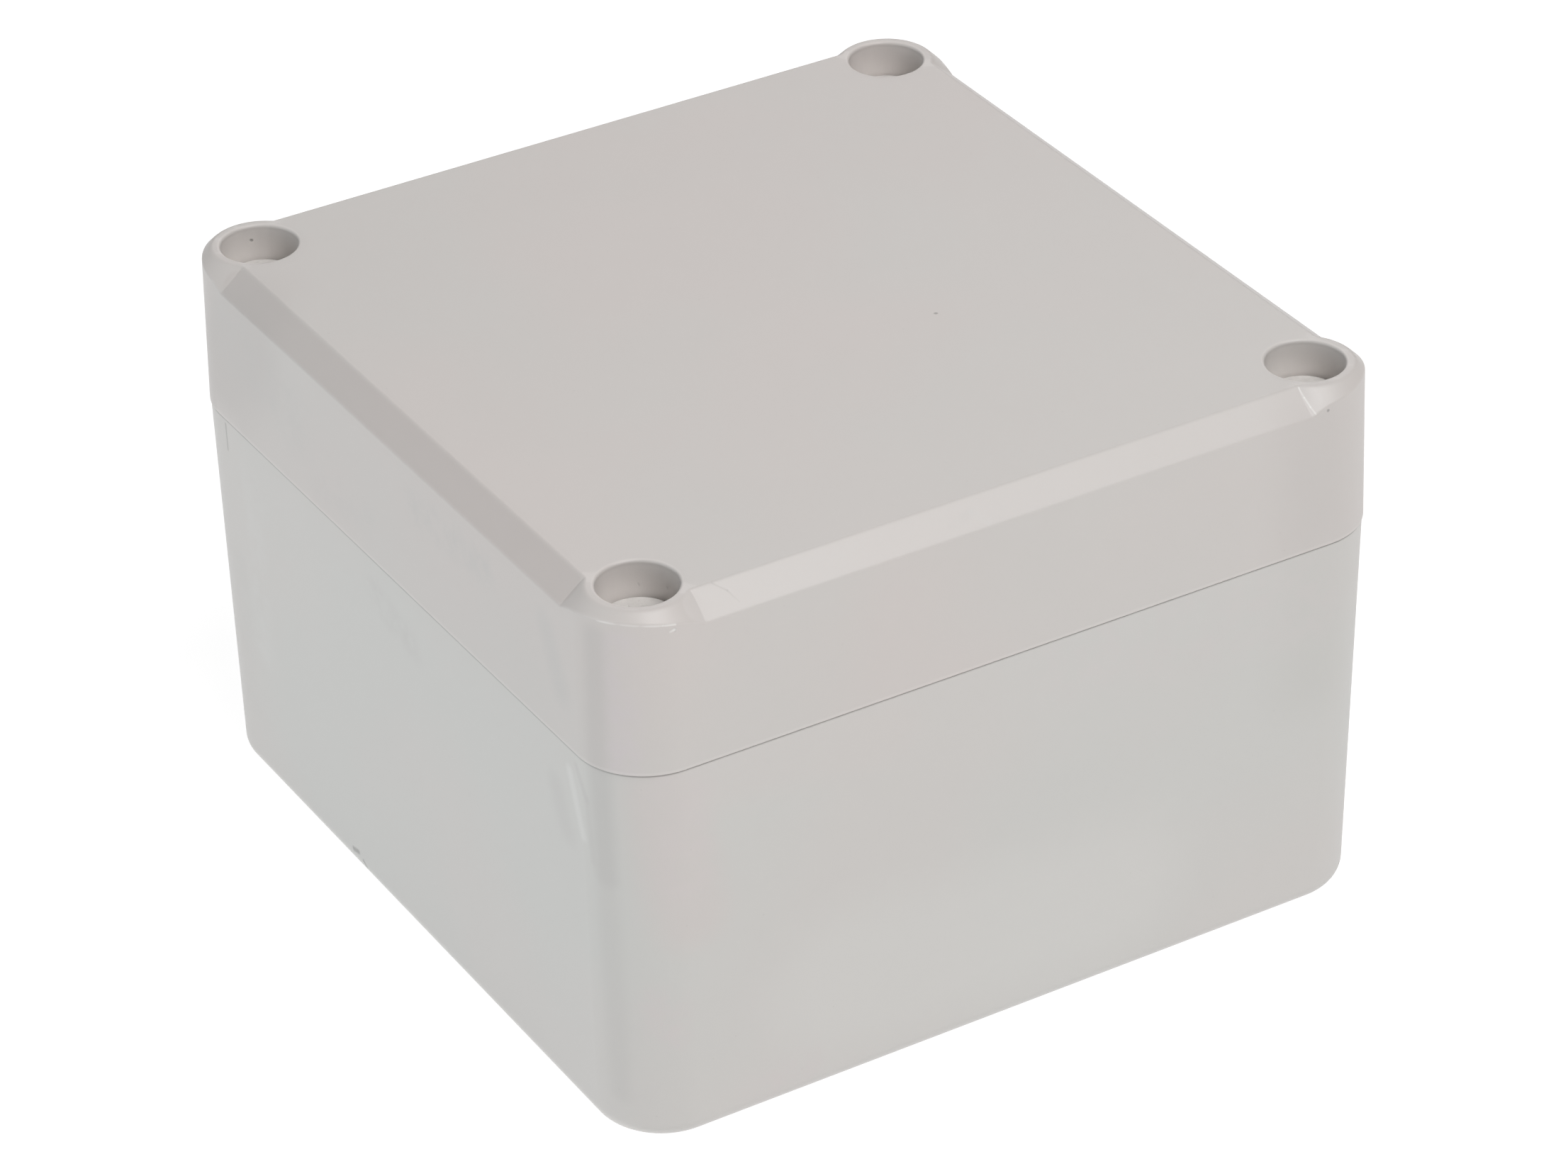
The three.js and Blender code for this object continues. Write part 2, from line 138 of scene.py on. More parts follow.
def triangles_within(points, edges, lines=()):
    """Triangles between the outline edges, as point numbers; the lines stay unbroken."""
    out = delaunay_2d_cdt([Vector(p) for p in points], [*edges, *lines], [], 0, 1e-6, True)
    # a point made where two lines cross has no source, and its triangles are left out
    source = [o[0] if o else -1 for o in out[3]]
    triangles = np.array([[source[i] for i in t] for t in out[2] if len(t) == 3], int)
    triangles = triangles[(triangles >= 0).all(1)]
    points = np.asarray(points)
    return triangles[inside(points[triangles].mean(1), points[np.array(edges)])]


@contextmanager
def editing(mesh):
    edit = bmesh.new()
    edit.from_mesh(mesh)
    yield edit
    edit.to_mesh(mesh)
    edit.free()


def mesh_of(shell, name, matrix=None):
    mesh = bpy.data.meshes.new(name)
    mesh.from_pydata(shell.points, [], shell.faces)
    with editing(mesh) as edit:
        bmesh.ops.dissolve_degenerate(edit, dist=1e-6, edges=edit.edges)
        loose = [v for v in edit.verts if not v.link_faces]
        if loose:
            bmesh.ops.delete(edit, geom=loose, context="VERTS")
        bmesh.ops.recalc_face_normals(edit, faces=edit.faces)
        if any(len(e.link_faces) != 2 for e in edit.edges):
            raise RuntimeError(f"{name} is not closed")
        if matrix is not None:
            edit.transform(matrix)
    mesh.update()
    return mesh


def add_object(name, data):
    made = bpy.data.objects.new(name, data)
    bpy.context.scene.collection.objects.link(made)
    return made


def moved(mesh, x, y):
    mesh.transform(Matrix.Translation((x, y, 0)))
    return mesh


def cut(body, tools, operation="DIFFERENCE"):
    """The body mesh with the tool meshes cut out of it or joined to it."""
    work = add_object("work", body)
    used = [work]
    for tool in tools:
        used.append(add_object("tool", tool))
        modifier = work.modifiers.new("cut", "BOOLEAN")
        modifier.operation, modifier.solver, modifier.object = operation, "EXACT", used[-1]
    bpy.context.view_layer.update()
    graph = bpy.context.evaluated_depsgraph_get()
    mesh = bpy.data.meshes.new_from_object(work.evaluated_get(graph))
    for item in used:
        bpy.data.objects.remove(item)
    with editing(mesh) as edit:
        bmesh.ops.remove_doubles(edit, verts=edit.verts, dist=2e-4)
        bmesh.ops.dissolve_degenerate(edit, dist=1e-4, edges=edit.edges)
    return mesh


def untangled(mesh):
    """The mesh in triangles, without the pairs that lie on each other where curved cuts meet."""
    edit = bmesh.new()
    edit.from_mesh(mesh)
    bmesh.ops.triangulate(edit, faces=edit.faces[:])
    edit.verts.index_update()
    groups = {}
    for f in edit.faces:
        groups.setdefault(frozenset(v.index for v in f.verts), []).append(f)
    doubled = [f for group in groups.values() if len(group) > 1 for f in group]
    bmesh.ops.delete(edit, geom=doubled, context="FACES")
    flaps = [f for f in edit.faces if sum(len(e.link_faces) == 1 for e in f.edges) > 1]
    bmesh.ops.delete(edit, geom=flaps, context="FACES")
    # the result is used only if it is still closed
    if all(len(e.link_faces) == 2 for e in edit.edges):
        edit.to_mesh(mesh)
    edit.free()
    return mesh


def piece(name, mesh, node, body, material, at=(0, 0, 0), sharp_angle=28.0):
    """Makes the object in metres, smooth with its real edges kept sharp, on its body."""
    mesh.transform(Matrix.Translation(Vector(at)))
    limit = math.radians(sharp_angle)
    with editing(mesh) as edit:
        for f in edit.faces:
            f.smooth = True
        for e in edit.edges:
            e.smooth = not (len(e.link_faces) == 2 and e.calc_face_angle(0.0) > limit)
        edit.transform(Matrix.Scale(MM, 4))
    mesh.name = name
    mesh.materials.clear()
    mesh.materials.append(material)
    made = add_object(name, mesh)
    normals = made.modifiers.new("weighted_normals", "WEIGHTED_NORMAL")
    normals.mode, normals.weight, normals.keep_sharp = "FACE_AREA_WITH_ANGLE", 50, True
    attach(made, body)
    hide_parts(node)


# ------------------------------------------------------------------ outlines
def circle(cx, cy, r, z, segments):
    angles = [2 * PI * i / segments for i in range(segments)]
    return [(cx + r * math.cos(a), cy + r * math.sin(a), z) for a in angles]


def rings(profile, segments, cx=0.0, cy=0.0):
    """Circles from a profile of (radius, z)."""
    return [circle(cx, cy, r, z, segments) for r, z in profile]


def curve(start, corner, end, steps):
    """A quadratic curve from start to end, drawn towards the corner, as steps + 1 points."""
    out = []
    for i in range(steps + 1):
        t = i / steps
        weights = (1 - t) ** 2, 2 * t * (1 - t), t * t
        out.append(tuple(
            weights[0] * a + weights[1] * b + weights[2] * c for a, b, c in zip(start, corner, end)
        ))
    return out


def rounded(polygon, reach, steps=4):
    """A polygon with its corners rounded; reach is the length taken from each side."""
    out, count = [], len(polygon)
    for i in range(count):
        point = np.array(polygon[i], float)
        before = np.array(polygon[i - 1], float) - point
        after = np.array(polygon[(i + 1) % count], float) - point
        len_a, len_b = np.linalg.norm(before), np.linalg.norm(after)
        k = min(reach, len_a * 0.49, len_b * 0.49)
        out += curve(point + before / len_a * k, point, point + after / len_b * k, steps)
    return out


def rectangle(x, y):
    """Corners of a rectangle of half sizes x and y."""
    return [(x, y), (-x, y), (-x, -y), (x, -y)]


def chamfered(x, y, c):
    """A rectangle of half sizes x and y with its corners cut off by c."""
    return [(x, y - c), (x - c, y), (c - x, y), (-x, y - c),
            (-x, c - y), (c - x, -y), (x - c, -y), (x, c - y)]


def at_height(polygon, z):
    return [(x, y, z) for x, y in polygon]


def arc(centre, r, start, end, steps):
    angles = [start + (end - start) * i / steps for i in range(steps + 1)]
    return [(centre[0] + r * math.cos(a), centre[1] + r * math.sin(a)) for a in angles]


def seal_line(offset, z):
    """The seal's path, moved outwards by offset: along the walls and round the inner side
    of each screw pillar."""
    fillet, pillar = 1.5, 6.0
    x, y = HALF_X - WALL - fillet, HALF_Y - WALL - fillet
    reach = fillet + pillar
    near_x = (x, SCREW_Y - math.sqrt(reach * reach - (x - SCREW_X) ** 2))
    near_y = (SCREW_X - math.sqrt(reach * reach - (y - SCREW_Y) ** 2), y)
    turn_x = math.atan2(SCREW_Y - near_x[1], SCREW_X - near_x[0])
    turn_y = math.atan2(SCREW_Y - near_y[1], SCREW_X - near_y[0])
    quarter = arc(near_x, fillet + offset, 0, turn_x, 8)
    quarter += arc((SCREW_X, SCREW_Y), pillar - offset, turn_x + PI, turn_y + PI, 20)[1:]
    quarter += arc(near_y, fillet + offset, turn_y, PI / 2, 8)[1:]
    half = quarter + [(-x, y) for x, y in reversed(quarter)]
    return at_height(half + [(-x, -y) for x, y in half], z)


def turned(profile, segments, name):
    """A turned solid from (radius, z), with flat ends."""
    shell = Shell()
    loops = [shell.loop(ring) for ring in rings(profile, segments)]
    shell.fan(loops[0], (0, 0, profile[0][1]))
    shell.skin(loops)
    shell.fan(loops[-1], (0, 0, profile[-1][1]))
    return mesh_of(shell, name)


def thread_loops(z0, z1, core_r, depth, pitch, segments, rows=8):
    """Loops of a helical thread from z0 to z1, fading out at both ends; rows are per turn."""
    out, count = [], int(round((z1 - z0) / pitch * rows))
    for k in range(count + 1):
        z = z0 + (z1 - z0) * k / count
        fade = min(1.0, (z - z0) / pitch, (z1 - z) / pitch)
        points = []
        for i in range(segments):
            a = 2 * PI * i / segments
            phase = ((z - pitch * a / (2 * PI)) / pitch) % 1.0
            crest = min(1.0, max(0.0, (1 - abs(2 * phase - 1)) * 1.5 - 0.2))
            r = core_r + depth * crest * fade
            points.append((r * math.cos(a), r * math.sin(a), z))
        out.append(points)
    return out


def shrunk(polygon, inset):
    """A counterclockwise polygon with every side moved inwards."""
    p = np.array(polygon, float)
    before, after = p - np.roll(p, 1, 0), np.roll(p, -1, 0) - p
    before /= np.linalg.norm(before, axis=1, keepdims=True)
    after /= np.linalg.norm(after, axis=1, keepdims=True)
    normal = np.stack([-before[:, 1], before[:, 0]], 1)
    mitre = normal + np.stack([-after[:, 1], after[:, 0]], 1)
    mitre /= np.sum(mitre * normal, axis=1, keepdims=True)
    return p + mitre * inset


def prism(polygon, z0, z1, edge, name, steps=3, matrix=None):
    """A prism with its top and bottom edges rounded by edge."""
    shell = Shell()
    profile = curve((edge, z0), (0, z0), (0, z0 + edge), steps)
    profile += curve((0, z1 - edge), (0, z1), (edge, z1), steps)
    loops = shell.skin([at_height(shrunk(polygon, inset), z) for inset, z in profile])
    shell.cap(loops[0])
    shell.cap(loops[-1])
    return mesh_of(shell, name, matrix)


def cross(arm, half, z, turn, reach=0.14, steps=3):
    """A cross of arm length and half width, turned about the Z axis."""
    polygon = [(arm, half), (half, half), (half, arm), (-half, arm), (-half, half), (-arm, half),
               (-arm, -half), (-half, -half), (-half, -arm), (half, -arm), (half, -half),
               (arm, -half)]
    c, s = math.cos(turn), math.sin(turn)
    return [(x * c - y * s, x * s + y * c, z) for x, y in rounded(polygon, reach, steps)]


# ------------------------------------------------------------------ shader nodes
class Net:
    """A material with one principled shader, and short names for the nodes that feed it.
    Noise and cell scales are per millimetre."""

    def __init__(self, name):
        self.material = bpy.data.materials.new(name)
        self.material.use_nodes = True
        self.tree = self.material.node_tree
        self.tree.nodes.clear()
        output = self.node("OutputMaterial")
        self.shader = self.node("BsdfPrincipled")
        self.put(output.inputs[0], self.shader.outputs[0])
        self.mm = self.scale(self.node("TexCoord").outputs["Object"], 1000.0)

    def node(self, kind):
        return self.tree.nodes.new("ShaderNode" + kind)

    def put(self, socket, value):
        if isinstance(value, bpy.types.NodeSocket):
            self.tree.links.new(value, socket)
        else:
            socket.default_value = value

    def finish(self, inputs):
        """Sets the shader's inputs and returns the material."""
        for name, value in inputs.items():
            self.put(self.shader.inputs[name], value)
        return self.material

    def math(self, operation, a, b=0.0, clamp=False):
        node = self.node("Math")
        node.operation, node.use_clamp = operation, clamp
        for socket, value in zip(node.inputs, (a, b, 0.0)):
            self.put(socket, value)
        return node.outputs[0]

    def add(self, a, b):
        return self.math("ADD", a, b)

    def subtract(self, a, b):
        return self.math("SUBTRACT", a, b)

    def multiply(self, a, b):
        return self.math("MULTIPLY", a, b)

    def spread(self, pattern, base, amount):
        """base plus the pattern times amount."""
        return self.add(base, self.multiply(pattern, amount))

    def vector(self, operation, a, b=(0, 0, 0)):
        node = self.node("VectorMath")
        node.operation = operation
        self.put(node.inputs[0], a)
        self.put(node.inputs[1], b)
        return node.outputs[1] if operation in ("LENGTH", "DOT_PRODUCT") else node.outputs[0]

    def scale(self, vector, factor):
        """A vector or a colour times a number."""
        node = self.node("VectorMath")
        node.operation = "SCALE"
        self.put(node.inputs[0], vector)
        self.put(node.inputs[3], factor)
        return node.outputs[0]

    def noise(self, scale, detail=2.0, rough=0.5, vector=None, shift=None):
        place = self.mm if vector is None else vector
        if shift:
            place = self.vector("ADD", place, shift)
        node = self.node("TexNoise")
        self.put(node.inputs["Vector"], place)
        node.inputs["Scale"].default_value = scale
        node.inputs["Detail"].default_value = detail
        node.inputs["Roughness"].default_value = rough
        return node.outputs[0]

    def cells(self, scale, output="Distance"):
        node = self.node("TexVoronoi")
        self.put(node.inputs["Vector"], self.mm)
        node.inputs["Scale"].default_value = scale
        return node.outputs[output]

    def stretched(self, scale, rotation=(0, 0, 0)):
        node = self.node("Mapping")
        node.inputs["Rotation"].default_value = rotation
        node.inputs["Scale"].default_value = scale
        self.put(node.inputs[0], self.mm)
        return node.outputs[0]

    def remap(self, value, between, to=(0.0, 1.0), smooth=False):
        """Carries the range between onto the range to, clamped."""
        node = self.node("MapRange")
        node.interpolation_type = "SMOOTHSTEP" if smooth else "LINEAR"
        node.clamp = True
        self.put(node.inputs[0], value)
        for k, x in enumerate((*between, *to)):
            node.inputs[k + 1].default_value = x
        return node.outputs[0]

    def mix(self, factor, first, second):
        """From the first colour to the second."""
        node = self.node("Mix")
        node.data_type = "RGBA"
        node.clamp_factor = True
        self.put(node.inputs[0], factor)
        for k, colour in ((6, first), (7, second)):
            plain = isinstance(colour, tuple)
            self.put(node.inputs[k], (*colour, 1.0) if plain else colour)
        return node.outputs[2]

    def bump(self, height, depth, normal=None):
        """Relief of the given depth in millimetres, laid over an earlier normal."""
        node = self.node("Bump")
        node.inputs["Strength"].default_value = 1.0
        node.inputs["Distance"].default_value = depth * MM
        self.put(node.inputs["Height"], height)
        if normal is not None:
            self.put(node.inputs["Normal"], normal)
        return node.outputs[0]

    def mark(self, start, end, radius, soft):
        """1 within radius of the line from start to end, falling to 0 over soft."""
        start, end = Vector(start), Vector(end)
        along = end - start
        offset = self.vector("SUBTRACT", self.mm, tuple(start))
        if along.length > 1e-6:
            dot = self.vector("DOT_PRODUCT", offset, tuple(along))
            share = self.math("DIVIDE", dot, along.length_squared, clamp=True)
            offset = self.vector("SUBTRACT", offset, self.scale(tuple(along), share))
        distance = self.vector("LENGTH", offset)
        return self.remap(distance, between=(radius, radius + soft), to=(1.0, 0.0), smooth=True)


# ------------------------------------------------------------------ moulded plastic
VARIATION = 0.02  # unevenness of the plastic's tone
LIGHT_MARK_AND_GLINT, DARK_MARK = (0.86, 0.85, 0.83), (0.16, 0.155, 0.15)


def plastic_tone(net, medium, fine, pointiness, specks):
    """Brightness: slow, medium and fine unevenness, specks, pale edges, and painted shade in hollows
    and creases.
    """
    slow = net.noise(scale=0.045)
    tone = net.spread(slow, base=1.0 - VARIATION * 0.9, amount=VARIATION)
    for pattern, amount in ((medium, VARIATION * 0.9), (fine, VARIATION * 1.2)):
        tone = net.spread(net.subtract(pattern, 0.5), base=tone, amount=amount)
    speck = net.remap(net.cells(scale=0.55), between=(0.035, 0.06), to=(1.0, 0.0))
    patches = net.noise(scale=0.2, detail=1.0, shift=(5, 50, 9))
    speck = net.multiply(speck, net.remap(patches, between=(0.56, 0.6)))
    tone = net.subtract(tone, net.multiply(speck, 0.10 * specks))
    worn = net.remap(pointiness, between=(0.53, 0.62), to=(0.0, 0.035))
    # painted shade: darker in hollows and creases
    hollow_shade = net.remap(pointiness, between=(0.47, 0.40), to=(0.0, 0.05))
    return net.subtract(net.add(tone, worn), hollow_shade)


def painted_band_tone(net, tone, z, level, half, soft, amount):
    """Painted light or shade: lightens the tone by amount within half of a level, and darkens it
    where amount is below 0.
    """
    away = net.math("ABSOLUTE", net.subtract(z, level))
    band = net.remap(away, between=(half, half + soft), to=(1.0, 0.0))
    return net.spread(band, base=tone, amount=amount)


def pit_painted_light(net, tone, place, x, y, radius, top, amount):
    """Painted light on the walls of the bores at (+-x, +-y), and a painted highlight as a fine line
    round their rims.
    """
    dx = net.subtract(net.math("ABSOLUTE", place[0]), x)
    dy = net.subtract(net.math("ABSOLUTE", place[1]), y)
    away = net.math("SQRT", net.add(net.multiply(dx, dx), net.multiply(dy, dy)))
    # painted light on the bore walls
    wall = net.multiply(
        net.remap(away, between=(radius, radius + 0.2), to=(1.0, 0.0)),
        net.remap(place[2], between=(top - 0.5, top), to=(1.0, 0.0)),
    )
    tone = net.spread(wall, base=tone, amount=amount)
    # painted highlight round the rims
    from_rim = net.math("ABSOLUTE", net.subtract(away, radius + 0.07))
    rim = net.multiply(
        net.remap(from_rim, between=(0.06, 0.16), to=(1.0, 0.0)),
        net.remap(place[2], between=(top - 0.25, top - 0.12)),
    )
    return net.spread(rim, base=tone, amount=0.10)


def with_smudges_and_painted_light(net, tint, smudges_and_painted_light):
    wisps = net.noise(scale=0.42, detail=4.0, rough=0.62, shift=(12, 40, 3))
    wisps = net.remap(wisps, between=(0.38, 0.62), to=(0.15, 1.0))
    # the patches hold smudges and also painted light and shade
    for start, end, radius, soft, colour, amount in smudges_and_painted_light:
        share = net.multiply(net.mark(start, end, radius, soft), abs(amount))
        if amount > 0:
            share = net.multiply(share, wisps)
        tint = net.mix(share, tint, colour)
    return tint


def moulded(name, colour, rough=0.42, grain=0.010, specks=0.5,
            marks_and_glints=(), smudges_and_painted_light=(), band=None, pit=None):
    """Satin moulded plastic with a fine grain of the given depth in millimetres."""
    net = Net(name)
    medium = net.noise(scale=0.35, detail=4.0, rough=0.6, shift=(31, 7, 3))
    fine = net.noise(scale=9.0, detail=3.0, rough=0.6)
    pointiness = net.node("NewGeometry").outputs["Pointiness"]
    tone = plastic_tone(net, medium, fine, pointiness, specks)
    if band or pit:
        split = net.node("SeparateXYZ")
        net.put(split.inputs[0], net.mm)
        # painted highlight or painted shade along a level
        if band:
            tone = painted_band_tone(net, tone, split.outputs[2], **band)
        # painted light in the screw bores, with a painted highlight round their rims
        if pit:
            tone = pit_painted_light(net, tone, split.outputs, **pit)

    # a faint drift between a cooler and a warmer grey
    drift = net.noise(scale=0.03, shift=(70, 4, 21))
    drift = net.remap(drift, between=(0.4, 0.6))
    cooler = tuple(c * f for c, f in zip(colour, (0.992, 1.003, 1.002)))
    warmer = tuple(c * f for c, f in zip(colour, (1.010, 0.997, 0.996)))
    tint = net.mix(drift, cooler, warmer)
    # smudges, and painted light and shade on faces and corners
    if smudges_and_painted_light:
        tint = with_smudges_and_painted_light(net, tint, smudges_and_painted_light)
    shaded = net.scale(tint, tone)

    finest = net.noise(scale=26.0, rough=0.6)
    relief = net.add(net.multiply(fine, 0.75), net.multiply(finest, 0.35))
    waves = net.noise(scale=0.06, detail=1.0, rough=0.4, shift=(9, 2, 4))
    normal = net.bump(relief, depth=grain, normal=net.bump(waves, depth=0.05))
    # specks, nicks and scratches, and also painted glints
    for start, end, radius, soft, darkness, depth in marks_and_glints:
        mark = net.mark(start, end, radius, soft)
        target = LIGHT_MARK_AND_GLINT if darkness < 0 else DARK_MARK
        shaded = net.mix(net.multiply(mark, abs(darkness)), shaded, target)
        normal = net.bump(net.multiply(mark, -1.0), depth, normal)

    # edges and creases are glossier
    sheen = net.add(
        net.remap(pointiness, between=(0.515, 0.56), to=(0.0, 0.13)),
        net.remap(pointiness, between=(0.485, 0.44), to=(0.0, 0.13)),
    )
    dull = net.spread(medium, base=rough - 0.04, amount=0.08)
    return net.finish({
        "Base Color": shaded,
        "Roughness": net.subtract(dull, sheen),
        "Normal": normal,
        "IOR": 1.5,
        "Specular IOR Level": 0.42,
    })


# ------------------------------------------------------------------ other materials
def scuffed_plastic(name, colour):
    """Moulded screw heads, scuffed by the driver."""
    net = Net(name)
    streaks = net.stretched(scale=(1.0, 7.0, 1.0), rotation=(0, 0, 0.7))
    scratch = net.noise(scale=1.6, detail=5.0, rough=0.7, vector=streaks)
    scratch = net.remap(scratch, between=(0.55, 0.72))
    blot = net.noise(scale=0.9, detail=4.0, rough=0.62, shift=(3, 1, 8))
    shaded = net.scale(colour, net.spread(blot, base=0.9, amount=0.2))
    shaded = net.mix(net.multiply(scratch, 0.35), shaded, (0.74, 0.73, 0.71))
    dirt = net.noise(scale=2.3, detail=3.0, rough=0.6, shift=(7, 7, 1))
    dirt = net.remap(dirt, between=(0.62, 0.72), to=(0.0, 0.3))
    grain = net.noise(scale=8.0, detail=3.0, rough=0.6)
    return net.finish({
        "Base Color": net.mix(dirt, shaded, (0.33, 0.32, 0.31)),
        "Roughness": net.spread(blot, base=0.42, amount=0.2),
        "Normal": net.bump(grain, depth=0.012, normal=net.bump(scratch, depth=0.02)),
    })


def rubber(name):
    """Dark foamed seal: matt, with small open cells."""
    net = Net(name)
    pore = net.remap(net.cells(scale=6.0), between=(0.10, 0.28), to=(1.0, 0.0))
    blot = net.noise(scale=1.2, detail=4.0, rough=0.6)
    shaded = net.scale((0.036, 0.037, 0.040), net.spread(blot, base=0.8, amount=0.45))
    pits = net.bump(net.multiply(pore, -1.0), depth=0.03)
    grain = net.noise(scale=12.0, detail=3.0, rough=0.6)
    return net.finish({
        "Base Color": net.mix(net.multiply(pore, 0.6), shaded, (0.012, 0.012, 0.013)),
        "Roughness": net.spread(blot, base=0.78, amount=0.15),
        "Normal": net.bump(grain, depth=0.02, normal=pits),
        "Specular IOR Level": 0.3,
    })


def nylon(name):
    """Natural nylon, slightly translucent."""
    net = Net(name)
    blot = net.noise(scale=1.4, detail=4.0, rough=0.6)
    return net.finish({
        "Base Color": net.scale((0.66, 0.63, 0.55), net.spread(blot, base=0.93, amount=0.14)),
        "Roughness": net.spread(blot, base=0.4, amount=0.2),
        "Subsurface Weight": 0.15,
        "Subsurface Radius": (0.001, 0.0009, 0.0007),
        "Normal": net.bump(net.noise(scale=7.0, detail=3.0, rough=0.6), depth=0.01),
    })


def metal(name, colour, rough, tarnish, turning_depth=0.0, spangled=False):
    """Metal with fine tool marks round the Z axis, or a galvanised spangle."""
    net = Net(name)
    blot = net.noise(scale=0.5, detail=4.0, rough=0.6, shift=(2, 4, 6))
    tone = net.spread(blot, base=0.88, amount=0.2)
    dull = net.spread(blot, base=rough - 0.06, amount=0.14)
    if spangled:
        split = net.node("SeparateColor")
        net.put(split.inputs[0], net.cells(scale=0.45, output="Color"))
        tone = net.spread(net.subtract(split.outputs[0], 0.5), base=tone, amount=0.16)
        dull = net.spread(net.subtract(split.outputs[1], 0.5), base=dull, amount=0.18)
    stain = net.noise(scale=0.8, detail=5.0, rough=0.65, shift=(11, 3, 5))
    stain = net.remap(stain, between=(0.56, 0.75), to=(0.0, 0.28))
    normal = net.bump(net.noise(scale=11.0, detail=4.0, rough=0.65), depth=0.006)
    if turning_depth:
        lines = net.stretched(scale=(0.4, 0.4, 14.0))
        lines = net.noise(scale=1.0, detail=3.0, rough=0.6, vector=lines)
        normal = net.bump(lines, depth=turning_depth, normal=normal)
    return net.finish({
        "Base Color": net.mix(stain, net.scale(colour, tone), tarnish),
        "Roughness": dull,
        "Normal": normal,
        "Metallic": 1.0,
    })


# Specks, nicks and scratches, and painted glints along the turrets' creases and lower edges:
# from, to, radius, softness, darkness (below 0 is lighter), depth
LID_MARKS_AND_GLINTS = [
    ((11.2, -10.1, 55.0), (11.2, -10.1, 55.0), 0.10, 0.16, 0.50, 0.02),
    ((-34.22, -40.85, 53.22), (-33.84, -40.85, 53.33), 0.09, 0.16, -0.75, 0.06),
    ((-34.40, -40.85, 53.02), (-33.75, -40.85, 53.14), 0.04, 0.12, 0.30, 0.03),
    ((32.5, -40.9, 53.15), (32.5, -40.9, 53.15), 0.10, 0.15, 0.6, 0.03),
    ((-28.79, -38.36, 54.95), (-27.75, -39.20, 54.31), 0.02, 0.14, 0.10, 0.01),
    ((-27.75, -39.20, 54.31), (-27.18, -40.20, 53.55), 0.02, 0.14, 0.08, 0.01),
    # painted glint along the crease between the front facet and the right turret
    ((30.92, -38.50, 54.84), (30.95, -39.30, 54.23), 0.025, 0.09, -0.40, 0.0),
    ((30.95, -39.30, 54.23), (31.06, -40.10, 53.63), 0.030, 0.10, -0.50, 0.0),
    ((31.06, -40.10, 53.63), (31.22, -40.72, 53.16), 0.025, 0.09, -0.40, 0.0),
    # painted glint along the lower edge of the front turret's cone
    ((-39.16, -37.01, 54.03), (-38.10, -38.61, 54.11), 0.035, 0.11, -0.42, 0.0),
    ((-38.10, -38.61, 54.11), (-36.51, -39.90, 54.07), 0.035, 0.11, -0.26, 0.0),
    ((-36.51, -39.90, 54.07), (-34.83, -40.58, 53.92), 0.035, 0.11, -0.38, 0.0),
    ((-34.83, -40.58, 53.92), (-33.70, -40.75, 53.79), 0.035, 0.11, -0.50, 0.0),
    ((6.3, -38.4, 54.1), (7.0, -38.7, 53.9), 0.03, 0.10, 0.20, 0.02),
    ((-33.26, 38.56, 53.48), (-33.20, 38.56, 53.44), 0.06, 0.14, 0.5, 0.03),
    ((-32.27, -31.92, 52.67), (-32.22, -31.95, 52.5), 0.03, 0.12, 0.12, 0.01),
    ((-30.62, -33.95, 52.83), (-30.60, -33.98, 52.7), 0.03, 0.12, 0.14, 0.01),
    ((-36.9, -37.9, 52.75), (-37.4, -37.1, 52.85), 0.03, 0.12, 0.14, 0.02),
]
BASE_MARKS = [
    ((-39.95, 32.8, 38.7), (-39.95, 32.8, 35.9), 0.05, 0.16, 0.34, 0.03),
    ((-39.3, 11.6, 2.5), (-39.3, 12.6, 2.3), 0.10, 0.30, 0.5, 0.05),
    ((-39.3, 10.2, 1.6), (-39.3, 10.7, 2.0), 0.08, 0.20, 0.4, 0.04),
]

# Tinted patches: smudges, and painted light and shade:
# from, to, radius, softness, tint, amount (below 0 is even, above 0 is wispy)
WARM, DULL, PALE = (0.620, 0.575, 0.566), (0.548, 0.534, 0.520), (0.640, 0.632, 0.616)
LID_SMUDGES_AND_PAINTED_LIGHT = [
    # painted shade: the left facet darker and warmer
    ((-38.54, -31.0, 53.97), (-38.54, 31.0, 53.97), 1.25, 0.4, (0.556, 0.508, 0.490), -0.48),
    # painted light: the front facet paler
    ((-31.0, -39.54, 53.97), (31.0, -39.54, 53.97), 1.25, 0.4, (0.650, 0.616, 0.598), -0.62),
    # painted shade on the back of the lid's left wall
    ((-39.9, 27.0, 50.5), (-39.9, 32.5, 45.0), 2.5, 7.0, (0.535, 0.507, 0.490), -0.60),
    # painted shade: darker towards the right corner
    ((31.5, -40.9, 51.5), (31.5, -40.9, 41.0), 0.5, 7.0, (0.548, 0.517, 0.500), -0.55),
    # painted shade down the front-left corner
    ((-39.4, -36.8, 52.2), (-39.4, -36.8, 40.0), 0.3, 1.7, (0.530, 0.505, 0.492), -0.55),
    ((-38.2, -39.0, 52.0), (-38.2, -39.0, 40.0), 0.6, 1.8, (0.612, 0.566, 0.572), 0.7),
    ((-39.9, -6.0, 49.0), (-39.9, -18.3, 49.9), 0.1, 3.0, DULL, 0.55),
    ((-39.9, -29.2, 49.5), (-39.9, -31.6, 44.5), 0.1, 2.4, DULL, -0.5),
    ((-39.9, 18.0, 47.0), (-39.9, 30.0, 49.5), 1.5, 4.5, DULL, 0.30),
    ((-39.9, 4.0, 43.0), (-39.9, 14.0, 42.0), 0.5, 2.5, DULL, 0.24),
    ((-5.9, -39.9, 53.78), (-3.8, -39.44, 54.13), 0.1, 0.7, DULL, 0.22),
    ((-2.7, -40.46, 53.36), (-3.8, -39.44, 54.13), 0.1, 0.5, PALE, 0.35),
]
